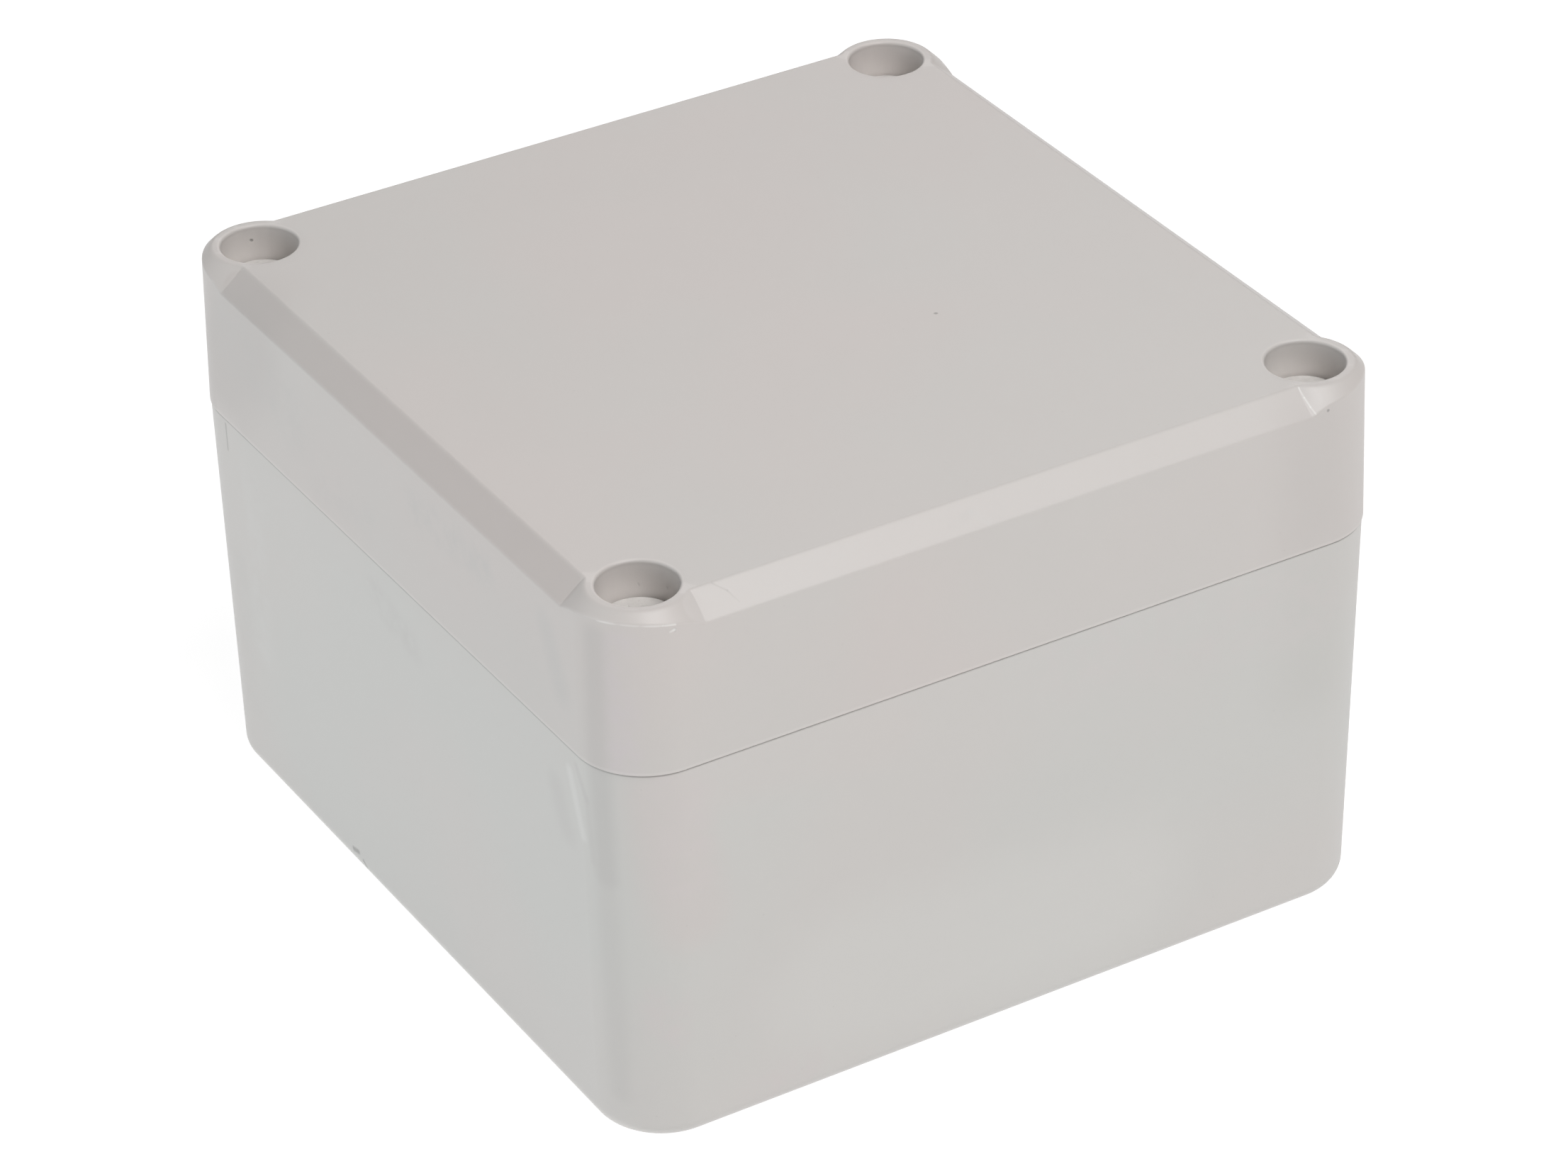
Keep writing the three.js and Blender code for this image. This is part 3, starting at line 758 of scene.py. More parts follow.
BASE_SMUDGES_AND_PAINTED_LIGHT = [
    # painted light: the lower front of the base paler
    ((-18.0, -40.5, 11.0), (10.0, -40.5, 10.0), 3.0, 9.0, (0.638, 0.626, 0.604), -0.60),
    # painted shade: darker towards the right corner
    ((31.5, -40.8, 38.5), (31.5, -40.7, 26.0), 0.5, 7.0, (0.555, 0.545, 0.523), -0.50),
    ((-35.5, -40.6, 37.0), (-33.0, -40.6, 24.0), 1.5, 4.0, (0.612, 0.566, 0.548), -0.65),
    ((-30.0, -40.8, 37.5), (-14.0, -40.8, 36.0), 1.5, 4.0, (0.618, 0.582, 0.562), -0.60),
    # painted shade down the front-left corner
    ((-39.4, -36.8, 39.0), (-39.3, -36.9, 28.0), 0.3, 1.7, (0.515, 0.500, 0.486), -0.58),
    ((-39.3, -36.9, 26.0), (-39.0, -37.0, 5.0), 0.3, 1.7, (0.530, 0.516, 0.500), -0.36),
    ((-34.0, -40.65, 36.0), (-34.0, -40.65, 28.0), 1.5, 3.0, WARM, 0.55),
    ((-36.0, -40.5, 15.0), (-35.6, -40.5, 12.0), 1.0, 2.5, WARM, 0.6),
    ((-27.0, -40.4, 2.6), (-22.0, -40.4, 3.4), 0.8, 2.0, WARM, 0.5),
    ((6.0, -40.8, 37.0), (30.0, -40.8, 34.0), 2.0, 5.0, WARM, 0.35),
    ((-39.8, -33.7, 38.0), (-39.7, -35.1, 35.2), 0.03, 0.6, DULL, -0.7),
    ((-39.7, -35.1, 35.2), (-39.5, -35.5, 29.0), 0.03, 0.6, DULL, -0.5),
    ((-39.8, -32.4, 36.8), (-39.6, -34.2, 31.0), 0.1, 0.8, (0.680, 0.672, 0.654), -0.6),
    ((-39.7, -29.8, 33.6), (-39.6, -31.2, 30.0), 0.2, 2.2, DULL, -0.55),
    ((-39.7, 3.2, 35.4), (-39.6, -3.5, 33.7), 0.1, 2.8, DULL, 0.6),
    ((-39.7, 28.6, 34.0), (-39.5, 28.6, 16.0), 0.6, 2.6, PALE, 0.35),
    ((-39.7, 32.6, 24.0), (-39.5, 32.6, 8.0), 0.4, 1.8, DULL, 0.22),
]

# painted highlight: a lighter line runs round the lid's foot, just above the joint
LID_PLASTIC = moulded(
    "lid_plastic", (0.604, 0.572, 0.552), marks_and_glints=LID_MARKS_AND_GLINTS, smudges_and_painted_light=LID_SMUDGES_AND_PAINTED_LIGHT,
    band=dict(level=SEAM + 0.22, half=0.06, soft=0.12, amount=0.05),
    # painted light in the screw recesses, and a painted highlight round their mouths
    pit=dict(x=SCREW_X, y=SCREW_Y, radius=RECESS_R + 0.1, top=HEIGHT - 0.1, amount=0.14),
)
# painted shade: a darker line on the base's rim in the joint
BASE_PLASTIC = moulded(
    "base_plastic", (0.600, 0.586, 0.566), marks_and_glints=BASE_MARKS, smudges_and_painted_light=BASE_SMUDGES_AND_PAINTED_LIGHT,
    band=dict(level=SEAM - 0.07, half=0.05, soft=0.09, amount=-0.13),
)
SCREW_PLASTIC = scuffed_plastic("lid_screw_plastic", (0.62, 0.60, 0.58))
RUBBER = rubber("seal_rubber")
NYLON = nylon("washer_nylon")
BRASS = metal(
    "brass", (0.76, 0.55, 0.27), rough=0.32, tarnish=(0.42, 0.27, 0.10), turning_depth=0.01
)
ZINC = metal(
    "zinc_steel", (0.70, 0.71, 0.73), rough=0.34, tarnish=(0.45, 0.45, 0.44), turning_depth=0.008
)
GALVANISED = metal(
    "galvanised_plate", (0.66, 0.67, 0.68), rough=0.42, tarnish=(0.48, 0.48, 0.48), spangled=True
)
BLOCK_PLASTIC = moulded(
    "block_polyamide", (0.74, 0.72, 0.665), rough=0.46, grain=0.008, specks=0.2
)

# ------------------------------------------------------------------ lid: upper face
# Sloping facets run round the flat top, and a 45 degree cone (a turret) stands at each screw.
LID_DRAFT = 0.22  # how far the wall leans in by its top
DROP, INSET = 2.05, 2.71  # height of the facets, and of their upper edges from the outline
SLOPE = (INSET - LID_DRAFT) / DROP
FACET_X, FACET_Y = round(HALF_X - INSET, 2), round(HALF_Y - INSET, 2)
TURRET = 4.5  # radius of the cone at the flat top
EDGE_SOFT, RING_SOFT, CREASE_SOFT = 0.12, 0.26, 0.05  # blends: facet edge, cone, crease
RIM_SOFT, RIM_FILLET = 0.14, 0.34  # roundings of the outline and of the recess mouths
RECESS_SEGMENTS = 144


def smooth_min(a, b, k):
    h = np.clip(0.5 + 0.5 * (b - a) / k, 0, 1)
    return b * (1 - h) + a * h - k * h * (1 - h)


def lid_faces(x, y):
    """Heights of the facets and of the cone, and whether a point is in the corner area."""
    facet_x = HEIGHT + ((HALF_X - x) - INSET) / SLOPE
    facet_y = HEIGHT + ((HALF_Y - y) - INSET) / SLOPE
    cone = HEIGHT + TURRET - np.hypot(x - SCREW_X, y - SCREW_Y)
    corner = (x > SCREW_X - 2.6) & (y > SCREW_Y - 2.6)
    return np.minimum(facet_x, facet_y), cone, corner


def top_z(x, y):
    """Height of the lid's upper face."""
    facet, cone, corner = lid_faces(np.abs(x), np.abs(y))
    slopes = np.where(corner, cone, -smooth_min(-facet, -cone, CREASE_SOFT))
    near_cone = np.where(corner, 1.0, np.clip((cone - facet) / 0.25, 0, 1))
    return smooth_min(HEIGHT, slopes, EDGE_SOFT + (RING_SOFT - EDGE_SOFT) * near_cone)


# distances from the middle of a side, before the even spacing near the corner
ALONG_X_SIDE = (0, 3, 6, 9, 12, 15, 18, 21, 23, 25, 26.5, 27.8, 28.8, 29.6)
ALONG_Y_SIDE = (0, 3, 6, 9, 12, 15, 18, 20, 22, 24, 25.5, 26.8, 27.8, 28.6)


def rim_stations():
    """One quarter of the outline, from the middle of the X side to the middle of the Y side:
    the stretch, and the share of its length or the angle."""
    end_x = round(HALF_X - LID_DRAFT - CORNER_R, 2)
    end_y = round(HALF_Y - LID_DRAFT - CORNER_R, 2)
    x_side = [*ALONG_X_SIDE, *np.arange(30.2, 34.0, 0.12)]
    y_side = [*ALONG_Y_SIDE, *np.arange(29.2, 33.0, 0.12)]
    stations = [("x", s / end_y) for s in x_side]
    stations += [("corner", a) for a in np.linspace(0, PI / 2, 61)]
    stations += [("y", s / end_x) for s in reversed(y_side)]
    return stations


def rim_point(station, z, inset):
    stretch, t = station
    lean = LID_DRAFT * (z - SEAM) / (HEIGHT - DROP - SEAM)
    x, y = HALF_X - lean - CORNER_R, HALF_Y - lean - CORNER_R
    if stretch == "x":
        return (HALF_X - lean - inset, t * y)
    if stretch == "y":
        return (t * x, HALF_Y - lean - inset)
    return (x + (CORNER_R - inset) * math.cos(t), y + (CORNER_R - inset) * math.sin(t))


def rim_top(station, inset):
    """Where the leaning wall, moved in by inset, meets the upper face."""
    z = 53.0
    for _ in range(3):
        x, y = rim_point(station, z, inset)
        z = float(top_z(x, y))
    return (x, y, z)


def all_round(quarter):
    """A quarter's points, from y = 0 to x = 0, carried to all four as one closed loop."""
    points = list(quarter)
    points += [(-x, y, z) for x, y, z in reversed(quarter)]
    points += [(-x, -y, z) for x, y, z in quarter]
    points += [(x, -y, z) for x, y, z in reversed(quarter)]
    return [p for k, p in enumerate(points) if p != points[k - 1]] if (
        points[0] != points[-1]) else [points[0]] + [
        p for k, p in enumerate(points[:-1]) if k and p != points[k - 1]]


def lid_rim_loops():
    """Loops from the start of the edge fillet down to the wall's foot, and the first quarter."""
    stations = rim_stations()
    steps = 7
    start = []
    fillet = [[] for _ in range(steps)]
    for station in stations:
        start.append(rim_top(station, RIM_SOFT))
        z = start[-1][2]
        edge_z = rim_top(station, 0.0)[2]
        for k, row in enumerate(fillet):
            t = (k + 1) / steps
            level = (1 - t) ** 2 * z + 2 * t * (1 - t) * edge_z + t * t * (edge_z - RIM_SOFT)
            row.append((*rim_point(station, level, (1 - t) ** 2 * RIM_SOFT), level))
    wall = [(0, 50.0), (0, 46.0), (0, 42.0)]  # inset, z
    wall += curve((0, SEAM + 0.16), (0, SEAM), (0.16, SEAM), 5)
    wall = [[(*rim_point(station, z, inset), z) for station in stations] for inset, z in wall]
    return [all_round(row) for row in (start, *fillet, *wall)], start


# offsets of the point rows beside a crease and beside a facet's upper edge
CREASE_OFFSETS = (0.0, -0.02, 0.02, -0.045, 0.045, -0.09, 0.09, -0.18, 0.18)
EDGE_OFFSETS = (-0.5, -0.3, -0.2, -0.155, -0.125, -0.095, -0.065, -0.035, 0.0,
                0.035, 0.065, 0.095, 0.125, 0.155, 0.2, 0.3, 0.5)
TURRET_RINGS = (3.98, 4.08, 4.16, 4.22, 4.28, 4.34, 4.40, 4.46, 4.52, 4.58, 4.64, 4.70, 4.76,
                4.84, 4.96, 5.12, 5.3, *np.arange(5.5, 8.4, 0.22))
EDGE_XS = [*np.arange(0, 24, 2.0), *np.arange(24, 29, 0.5), *np.arange(29, 31.2, 0.15)]
EDGE_YS = [*np.arange(0, 25, 2.0), *np.arange(25, 30, 0.5), *np.arange(30, 32.2, 0.15)]


def crease_at(level, facet, centre, level_centre):
    """Where the crease between facet and cone crosses a level of the other axis."""
    radius = TURRET + max(0.0, (level - facet) / SLOPE)
    return centre - math.sqrt(radius * radius - (level - level_centre) ** 2)


def crease_x(y):
    return crease_at(y, FACET_Y, SCREW_X, SCREW_Y)


def crease_y(x):
    return crease_at(x, FACET_X, SCREW_Y, SCREW_X)


def grid(xs, ys):
    gx, gy = np.meshgrid(xs, ys)
    return np.stack([gx.ravel(), gy.ravel()], 1)


def turret_points():
    """Rings round the screw, kept where the face bends."""
    points = []
    for k, r in enumerate(TURRET_RINGS):
        a = 2 * PI * (np.arange(RECESS_SEGMENTS) + (0.5 if k % 2 else 0.0)) / RECESS_SEGMENTS
        points.append(np.stack([SCREW_X + r * np.cos(a), SCREW_Y + r * np.sin(a)], 1))
    points = np.concatenate(points)
    x, y = points.T
    facet, cone, corner = lid_faces(x, y)
    face = np.where(corner, cone, np.maximum(facet, cone))
    bends = (face < HEIGHT + 0.4) & (corner | (cone > facet - 0.02))
    return points[(np.hypot(x - SCREW_X, y - SCREW_Y) < 4.0) | bends]


def edge_lines(points, first):
    """Pairs of neighbours along the rows of a facet's upper edge; first numbers points[0]."""
    lines = []
    for axis, base, stop in ((1, FACET_Y, 30.1), (0, FACET_X, 31.1)):
        for offset in EDGE_OFFSETS:
            in_row = np.abs(points[:, axis] - base - offset) < 1e-6
            on = np.nonzero(in_row & (points[:, 1 - axis] < stop))[0]
            on = on[np.argsort(points[on, 1 - axis])]
            lines += [(int(a) + first, int(b) + first) for a, b in zip(on, on[1:])]
    return lines


def quarter_points(start):
    """Points over one quarter of the upper face, dense where it bends, and the lines to keep.
    Earlier families win over later ones."""
    recess = circle(SCREW_X, SCREW_Y, RECESS_R + RIM_FILLET, 0, RECESS_SEGMENTS)
    kept = [np.array([(x, y) for x, y, _ in loop]) for loop in (start, recess)]

    def keep(points, gap):
        """Drops points off the face, or nearer than gap to those already kept."""
        points = np.asarray(points, float)
        x, y = points.T
        margin = LID_DRAFT + RIM_SOFT + 0.03
        ok = (x >= 0) & (y >= 0) & (x < HALF_X - margin) & (y < HALF_Y - margin)
        cx, cy = HALF_X - 0.225 - CORNER_R, HALF_Y - 0.225 - CORNER_R
        beyond = np.hypot(x - cx, y - cy) > CORNER_R - RIM_SOFT - 0.03
        ok &= ~((x > cx) & (y > cy) & beyond)
        ok &= np.hypot(x - SCREW_X, y - SCREW_Y) > RECESS_R + RIM_FILLET + 0.03
        points = points[ok]
        others = np.concatenate(kept)
        near = np.array([np.hypot(*(others - p).T).min() < gap for p in points], bool)
        kept.append(points[~near])

    for offset in CREASE_OFFSETS:
        ys, xs = np.arange(FACET_Y - 0.45, 40.6, 0.11), np.arange(FACET_X - 0.45, 39.6, 0.11)
        row = [(crease_x(y) + offset, y) for y in ys]
        keep(row + [(x, crease_y(x) + offset) for x in xs], gap=0.017)
    # patches where a facet's upper edge meets a turret
    steps = np.arange(-0.7, 0.71, 0.06)
    patch = grid(steps, steps)
    patch = patch[np.hypot(*patch.T) < 0.7]
    keep(patch + (crease_x(FACET_Y), FACET_Y), gap=0.04)
    keep(patch + (FACET_X, crease_y(FACET_X)), gap=0.04)

    rows = [(x, FACET_Y + d) for d in EDGE_OFFSETS for x in EDGE_XS]
    rows = np.array(rows + [(FACET_X + d, y) for d in EDGE_OFFSETS for y in EDGE_YS])
    outside = np.hypot(rows[:, 0] - SCREW_X, rows[:, 1] - SCREW_Y) > TURRET - 0.1
    first = sum(len(family) for family in kept)
    keep(rows[outside], gap=0.028)
    # unbroken rows let the rounding of the edge shade evenly
    lines = edge_lines(kept[-1], first)

    keep(turret_points(), gap=0.07)
    keep(grid(np.arange(0, 41, 3.0), np.arange(0, 41, 3.0)), gap=0.9)
    keep(grid(np.arange(28.5, 37, 0.9), np.arange(29.5, 38, 0.9)), gap=0.6)
    keep([(x, y) for y in (39.2, 39.9, 40.3) for x in EDGE_XS[::2]], gap=0.25)
    keep([(x, y) for x in (38.2, 38.9, 39.3) for y in EDGE_YS[::2]], gap=0.25)
    return np.concatenate(kept), lines


def add_lid_top(shell, start):
    points, lines = quarter_points(start)
    count = len(start)
    edges = [(i, i + 1) for i in range(count - 1)]
    # the two axes close the quarter, from the centre to the ends of the outline
    for axis, end in ((0, 0), (1, count - 1)):
        on = [i for i in range(count, len(points)) if abs(points[i, 1 - axis]) < 1e-9]
        on.sort(key=lambda i: points[i, axis])
        edges += zip(on, [*on[1:], end])
    edges += [(count + k, count + (k + 1) % RECESS_SEGMENTS) for k in range(RECESS_SEGMENTS)]
    triangles = triangles_within(points, edges, lines)
    heights = top_z(points[:, 0], points[:, 1])
    heights[:count] = [z for _, _, z in start]
    for sx, sy in CORNERS:
        ids = [shell.add((sx * x, sy * y, z)) for (x, y), z in zip(points, heights)]
        for triangle in triangles:
            shell.face([ids[i] for i in triangle])


# ------------------------------------------------------------------ lid: recesses and hollow
# radius, z: mouth, screw seat, screw hole, washer pocket
RECESS_PROFILE = [
    *curve((RECESS_R + RIM_FILLET, HEIGHT), (RECESS_R, HEIGHT), (RECESS_R, HEIGHT - RIM_FILLET), 6),
    (RECESS_R, HEAD_TOP), (RECESS_R - 0.02, SEAT + 0.2), (RECESS_R - 0.2, SEAT),
    (2.5, SEAT), (2.3, SEAT - 0.2),
    (2.3, 45.65), (3.05, 45.65), (3.2, 45.5), (3.2, SEAM + 0.2), (3.4, SEAM),
]
# offset from the seal line, z: the seal's groove, its inner lip, the hollow up to the ceiling
LID_HOLLOW = [
    (1.7, SEAM + 0.12), (1.7, 42.45), (1.5, 42.65), (0.4, 42.65), (0.2, 42.45), (0.2, 39.75),
    (0.0, 39.55), (-0.7, 39.55), (-0.9, 39.75), (-0.9, CEILING - 0.9), (-0.98, CEILING - 0.5),
    (-1.2, CEILING - 0.16), (-1.42, CEILING - 0.16),
]
LID_PINS = [(-24, -18), (24, -18), (-24, 18), (24, 18), (0, -28), (0, 28)]
LID_PIN_PROFILE = [(r, CEILING - 0.16) for r in (3.2, 2.7, 2.3, 2.0)]
LID_PIN_PROFILE += [(1.96, CEILING - 0.08), (1.7, CEILING - 0.08)]


def build_lid():
    shell = Shell()
    loops, start = lid_rim_loops()
    loops = shell.skin(loops)
    add_lid_top(shell, start)
    pockets = []
    quarter_rings = rings(RECESS_PROFILE, RECESS_SEGMENTS, SCREW_X, SCREW_Y)
    for sx, sy in CORNERS:
        recess = [[(sx * x, sy * y, z) for x, y, z in ring] for ring in quarter_rings]
        pockets.append(shell.skin(recess)[-1])
    groove = shell.loop(seal_line(1.82, SEAM))
    shell.cap(loops[-1], [groove, *pockets])
    hollow = shell.skin([groove, *(seal_line(offset, z) for offset, z in LID_HOLLOW)])
    # ejector pin marks on the ceiling
    pins = [shell.well(x, y, LID_PIN_PROFILE, 32, end_z=CEILING - 0.08) for x, y in LID_PINS]
    shell.cap(hollow[-1], pins)
    return mesh_of(shell, "lid_shell")


# ------------------------------------------------------------------ base
FOOT_INSET, RIM_INSET, FOOT_FILLET = 0.62, 0.08, 2.0
BASE_PIN = 24
# radius, z: the moulding gate in its dimple, and an ejector mark
GATE_PROFILE = [
    (4.2, 0), (3.4, 0), (2.9, 0), (2.6, 0), (2.5, 0.08), (2.3, 0.42), (2.1, 0.5), (0.75, 0.5),
    (0.6, 0.18),
]
BASE_PIN_PROFILE = [(4.4, 0), (3.7, 0), (3.3, 0), (3.0, 0), (2.95, 0.07), (2.7, 0.07)]
# offset from the seal line, z: tongue, ledge, cavity wall and floor
BASE_CAVITY = [
    (1.52, SEAM), (1.43, SEAM + 0.03), (1.4, SEAM + 0.14), (1.4, 40.83), (1.34, 40.97),
    (1.2, 41.04), (0.7, 41.04), (0.56, 40.97), (0.5, 40.83), (0.5, SEAM + 0.05), (0.45, SEAM),
    (0.12, SEAM), (0.0, SEAM - 0.12), (0.0, FLOOR_Z + 0.8), (-0.06, FLOOR_Z + 0.5),
    (-0.23, FLOOR_Z + 0.23), (-0.5, FLOOR_Z + 0.06), (-0.8, FLOOR_Z), (-1.15, FLOOR_Z),
]
# radius, z: the hole for the threaded insert, and the post under the plate
INSERT_HOLE = [
    (3.4, SEAM), (3.28, SEAM - 0.06), (3.25, SEAM - 0.16), (3.25, SEAM - 0.6),
    (2.92, SEAM - 0.6), (2.92, 29.62), (2.2, 29.62), (2.2, 25.65),
]
POST_PROFILE = [
    (4.4, FLOOR_Z), (4.1, FLOOR_Z), (3.72, FLOOR_Z + 0.1), (3.45, FLOOR_Z + 0.32),
    (3.34, FLOOR_Z + 0.7), (3.14, 8.25), (2.98, PLATE_Z), (1.45, PLATE_Z), (1.15, 8.15),
    (1.15, 3.4),
]


def base_outline(extra, z):
    """The tapering wall's outline at z, moved in by extra."""
    inset = RIM_INSET + (FOOT_INSET - RIM_INSET) * (1 - z / SEAM) + extra
    radius = CORNER_R - extra
    x, y, points = HALF_X - inset, HALF_Y - inset, []
    for start, (sx, sy) in enumerate(CORNERS):
        centre = (sx * (x - radius), sy * (y - radius))
        points += arc(centre, radius, start * PI / 2, (start + 1) * PI / 2, 22)
    return at_height(points, z)


def build_base():
    shell = Shell()
    # extra inset, z; narrow flat bands bound the underside so that it shades evenly
    wall = [(FOOT_FILLET + extra, 0) for extra in (1.5, 0.9, 0.35)]
    for k in range(11):
        a = k / 10 * PI / 2
        wall.append((FOOT_FILLET * (1 - math.sin(a)), FOOT_FILLET * (1 - math.cos(a))))
    wall += [(0, z) for z in (8.0, 16.0, 24.0, 32.0)]
    wall += curve((0, SEAM - 0.2), (0, SEAM), (0.2, SEAM), 4)
    outer = shell.skin([base_outline(extra, z) for extra, z in wall])

    holes = [shell.well(0, 0, GATE_PROFILE, 48, end_z=0.16)]
    for sx, sy in ((-1, -1), (1, -1), (-1, 1), (1, 1)):
        x, y = sx * BASE_PIN, sy * BASE_PIN
        holes.append(shell.well(x, y, BASE_PIN_PROFILE, 40, end_z=0.07))
    shell.cap(outer[0], holes)

    cavity = shell.skin([seal_line(offset, z) for offset, z in BASE_CAVITY])
    pockets = [
        shell.well(sx * SCREW_X, sy * SCREW_Y, INSERT_HOLE, 64, end_z=25.2) for sx, sy in CORNERS
    ]
    shell.cap(outer[-1], [cavity[0], *pockets])
    posts = [
        shell.well(sx * PLATE_SCREW_X, sy * PLATE_SCREW_Y, POST_PROFILE, 48, end_z=3.2)
        for sx, sy in CORNERS
    ]
    shell.cap(cavity[-1], posts)
    return mesh_of(shell, "base_shell")


# ------------------------------------------------------------------ seal
def build_seal():
    """A cord laid in the lid's groove, rounder on the side that meets the base."""
    shell = Shell()
    z0, z1 = 41.06, 42.64
    inner, outer = 0.36, 1.54  # offsets from the seal line
    low, high = 0.34, 0.2  # roundings
    section = curve((inner, z0 + low), (inner, z0), (inner + low, z0), 5)
    section += curve((outer - low, z0), (outer, z0), (outer, z0 + low), 5)
    section += curve((outer, z1 - high), (outer, z1), (outer - high, z1), 3)
    section += curve((inner + high, z1), (inner, z1), (inner, z1 - high), 3)
    shell.closed_skin([seal_line(offset, z) for offset, z in section])
    return mesh_of(shell, "seal")


# ------------------------------------------------------------------ lid fasteners
def build_lid_screw(turn):
    shell = Shell()
    tip, segments = SEAT - 14.6, 64
    loops = rings([(1.15, tip), (1.38, tip + 0.1), (1.58, tip + 0.45)], segments)
    loops += thread_loops(tip + 0.5, 42.6, core_r=1.58, depth=0.36, pitch=0.7, segments=segments)
    neck_and_head = [
        (1.62, 42.75), (1.92, 43.1), (1.92, SEAT - 0.15), (2.05, SEAT), (3.2, SEAT),
        (3.36, SEAT + 0.14), (3.38, SEAT + 0.4), (3.38, HEAD_TOP - 0.32),
    ]
    rim = curve((3.38, HEAD_TOP - 0.3), (3.36, HEAD_TOP - 0.02), (3.05, HEAD_TOP), 5)
    loops = shell.skin(loops + rings(neck_and_head + rim, segments))
    shell.fan(loops[0], (0, 0, tip))
    # arm, half width, depth of the cross recess
    recess = ((2.0, 0.62, 0.0), (1.92, 0.54, 0.09), (1.8, 0.46, 1.0), (1.62, 0.4, 1.68))
    recess = shell.skin([cross(arm, half, HEAD_TOP - depth, turn) for arm, half, depth in recess])
    shell.cap(loops[-1], [recess[0]])
    shell.cap(recess[-1])
    return mesh_of(shell, "lid_screw")


def build_washer():
    shell = Shell()
    z0, z1 = 39.46, 40.54
    section = curve((2.94, z0 + 0.22), (2.94, z0), (2.72, z0), 4)
    section += curve((2.2, z0), (2.04, z0), (2.04, z0 + 0.16), 3)
    section += curve((2.04, z1 - 0.16), (2.04, z1), (2.2, z1), 3)
    section += curve((2.72, z1), (2.94, z1), (2.94, z1 - 0.22), 4)
    shell.closed_skin(rings(section, 56))
    return mesh_of(shell, "washer")


def knurl(z, height, segments):
    """A ring with 36 ridges of the given height."""
    points = []
    for i in range(segments):
        a = 2 * PI * i / segments
        r = 2.76 + height * abs(math.sin(18 * a))
        points.append((r * math.cos(a), r * math.sin(a), z))
    return points


def build_insert():
    """A brass insert with two knurled bands and a threaded bore."""
    shell, segments, ridge = Shell(), 144, 0.12
    z0, z1 = 29.66, 38.64
    loops = rings([(2.3, z0), (2.5, z0), (2.7, z0 + 0.35)], segments)
    lower = ((0.5, 0), (0.7, ridge), (3.4, ridge), (3.6, 0))  # z above the foot, ridge height
    upper = ((4.75, 0), (4.95, ridge), (7.9, ridge), (8.1, 0))
    loops += [knurl(z0 + z, height, segments) for z, height in lower]
    loops += rings([(2.55, z0 + 3.75), (2.55, z0 + 4.6)], segments)
    loops += [knurl(z0 + z, height, segments) for z, height in upper]
    loops += rings([(2.86, z0 + 8.25), (2.86, z1 - 0.1), (2.76, z1), (2.42, z1)], segments)
    loops += reversed(thread_loops(
        z0 + 0.3, z1 - 0.32, core_r=2.05, depth=0.22, pitch=0.7, segments=segments, rows=7
    ))
    shell.closed_skin(loops)
    return mesh_of(shell, "insert")


# ------------------------------------------------------------------ pan-head screws
def build_pan_screw(under, r, length, head_r, head_h, pitch, turn):
    """A pan-head screw with a tapering cross recess; under is the height of its head's foot."""
    shell, segments = Shell(), 48
    tip, top, core = under - length, under + head_h, r * 0.72
    loops = rings([(core * 0.25, tip + 0.06), (core * 0.7, tip + 0.4), (core, tip + 0.8)], segments)
    loops += thread_loops(tip + 0.82, under - 0.5, core, r - core - 0.01, pitch, segments)
    profile = [(core, under - 0.4), (core * 1.05, under - 0.02),
               (head_r - 0.12, under), (head_r, under + 0.1)]
    for k in range(9):
        a = k / 8 * PI / 2
        profile.append((
            head_r - (head_r * 0.42) * (1 - math.cos(a)),
            under + head_h * 0.4 + head_h * 0.55 * math.sin(a),
        ))
    loops = shell.skin(loops + rings(profile, segments))
    shell.fan(loops[0], (0, 0, tip))
    crown = shell.skin([loops[-1], circle(0, 0, head_r * 0.3, top - 0.005, segments)])
    shell.fan(crown[-1], (0, 0, top))

    tool = Shell()
    arm, half, floor_z = head_r * 0.56, head_r * 0.15, top - head_h * 0.62
    sections = [  # arm, half width, z, corner rounding
        (arm * 0.35, half * 0.6, floor_z - 0.12, 0.04),
        (arm * 0.62, half * 0.78, floor_z, 0.05),
        (arm * 0.96, half * 0.98, top - 0.12, 0.06),
        (arm * 1.15, half * 1.2, top + 0.4, 0.06),
    ]
    loops = tool.skin([cross(a, h, z, turn, reach, 2) for a, h, z, reach in sections])
    tool.cap(loops[0])
    tool.cap(loops[-1])
    return cut(mesh_of(shell, "pan"), [mesh_of(tool, "pan_cross")])


# ------------------------------------------------------------------ plate
def build_plate():
    shell = Shell()
    x, y, chamfer = 28.0, 29.0, 3.0
    # inset, z
    section = [(0.14, PLATE_Z), (0.0, PLATE_Z + 0.14), (0.0, PLATE_TOP - 0.22),
               (0.04, PLATE_TOP - 0.07), (0.2, PLATE_TOP)]
    loops = []
    for inset, z in section:
        sides = [(px * (1 - inset / x), py * (1 - inset / y)) for px, py in chamfered(x, y, chamfer)]
        loops.append(at_height(rounded(sides, 0.6), z))
    outer = shell.skin(loops)
    holes = [(sx * PLATE_SCREW_X, sy * PLATE_SCREW_Y, 1.75) for sx, sy in CORNERS]
    holes += [(hole_x, 0.0, 1.05) for hole_x in BLOCK_SCREW_XS]
    low, high = [], []
    for hole_x, hole_y, r in holes:
        profile = [(r + 0.06, PLATE_Z), (r, PLATE_Z + 0.08), (r, PLATE_TOP - 0.1),
                   (r + 0.1, PLATE_TOP)]
        hole = shell.skin(rings(profile, 48, hole_x, hole_y))
        low.append(hole[0])
        high.append(hole[-1])
    shell.cap(outer[0], low)
    shell.cap(outer[-1], high)
    return mesh_of(shell, "plate")


# ------------------------------------------------------------------ terminal block
# y, flare: the wire tunnel opens at both mouths
TUNNEL_STATIONS = [(-12.0, 0.6), (-10.0, 0.32), (-9.2, 0.12), (-8.8, 0.0),
                   (8.8, 0.0), (9.2, 0.12), (10.0, 0.32), (12.0, 0.6)]
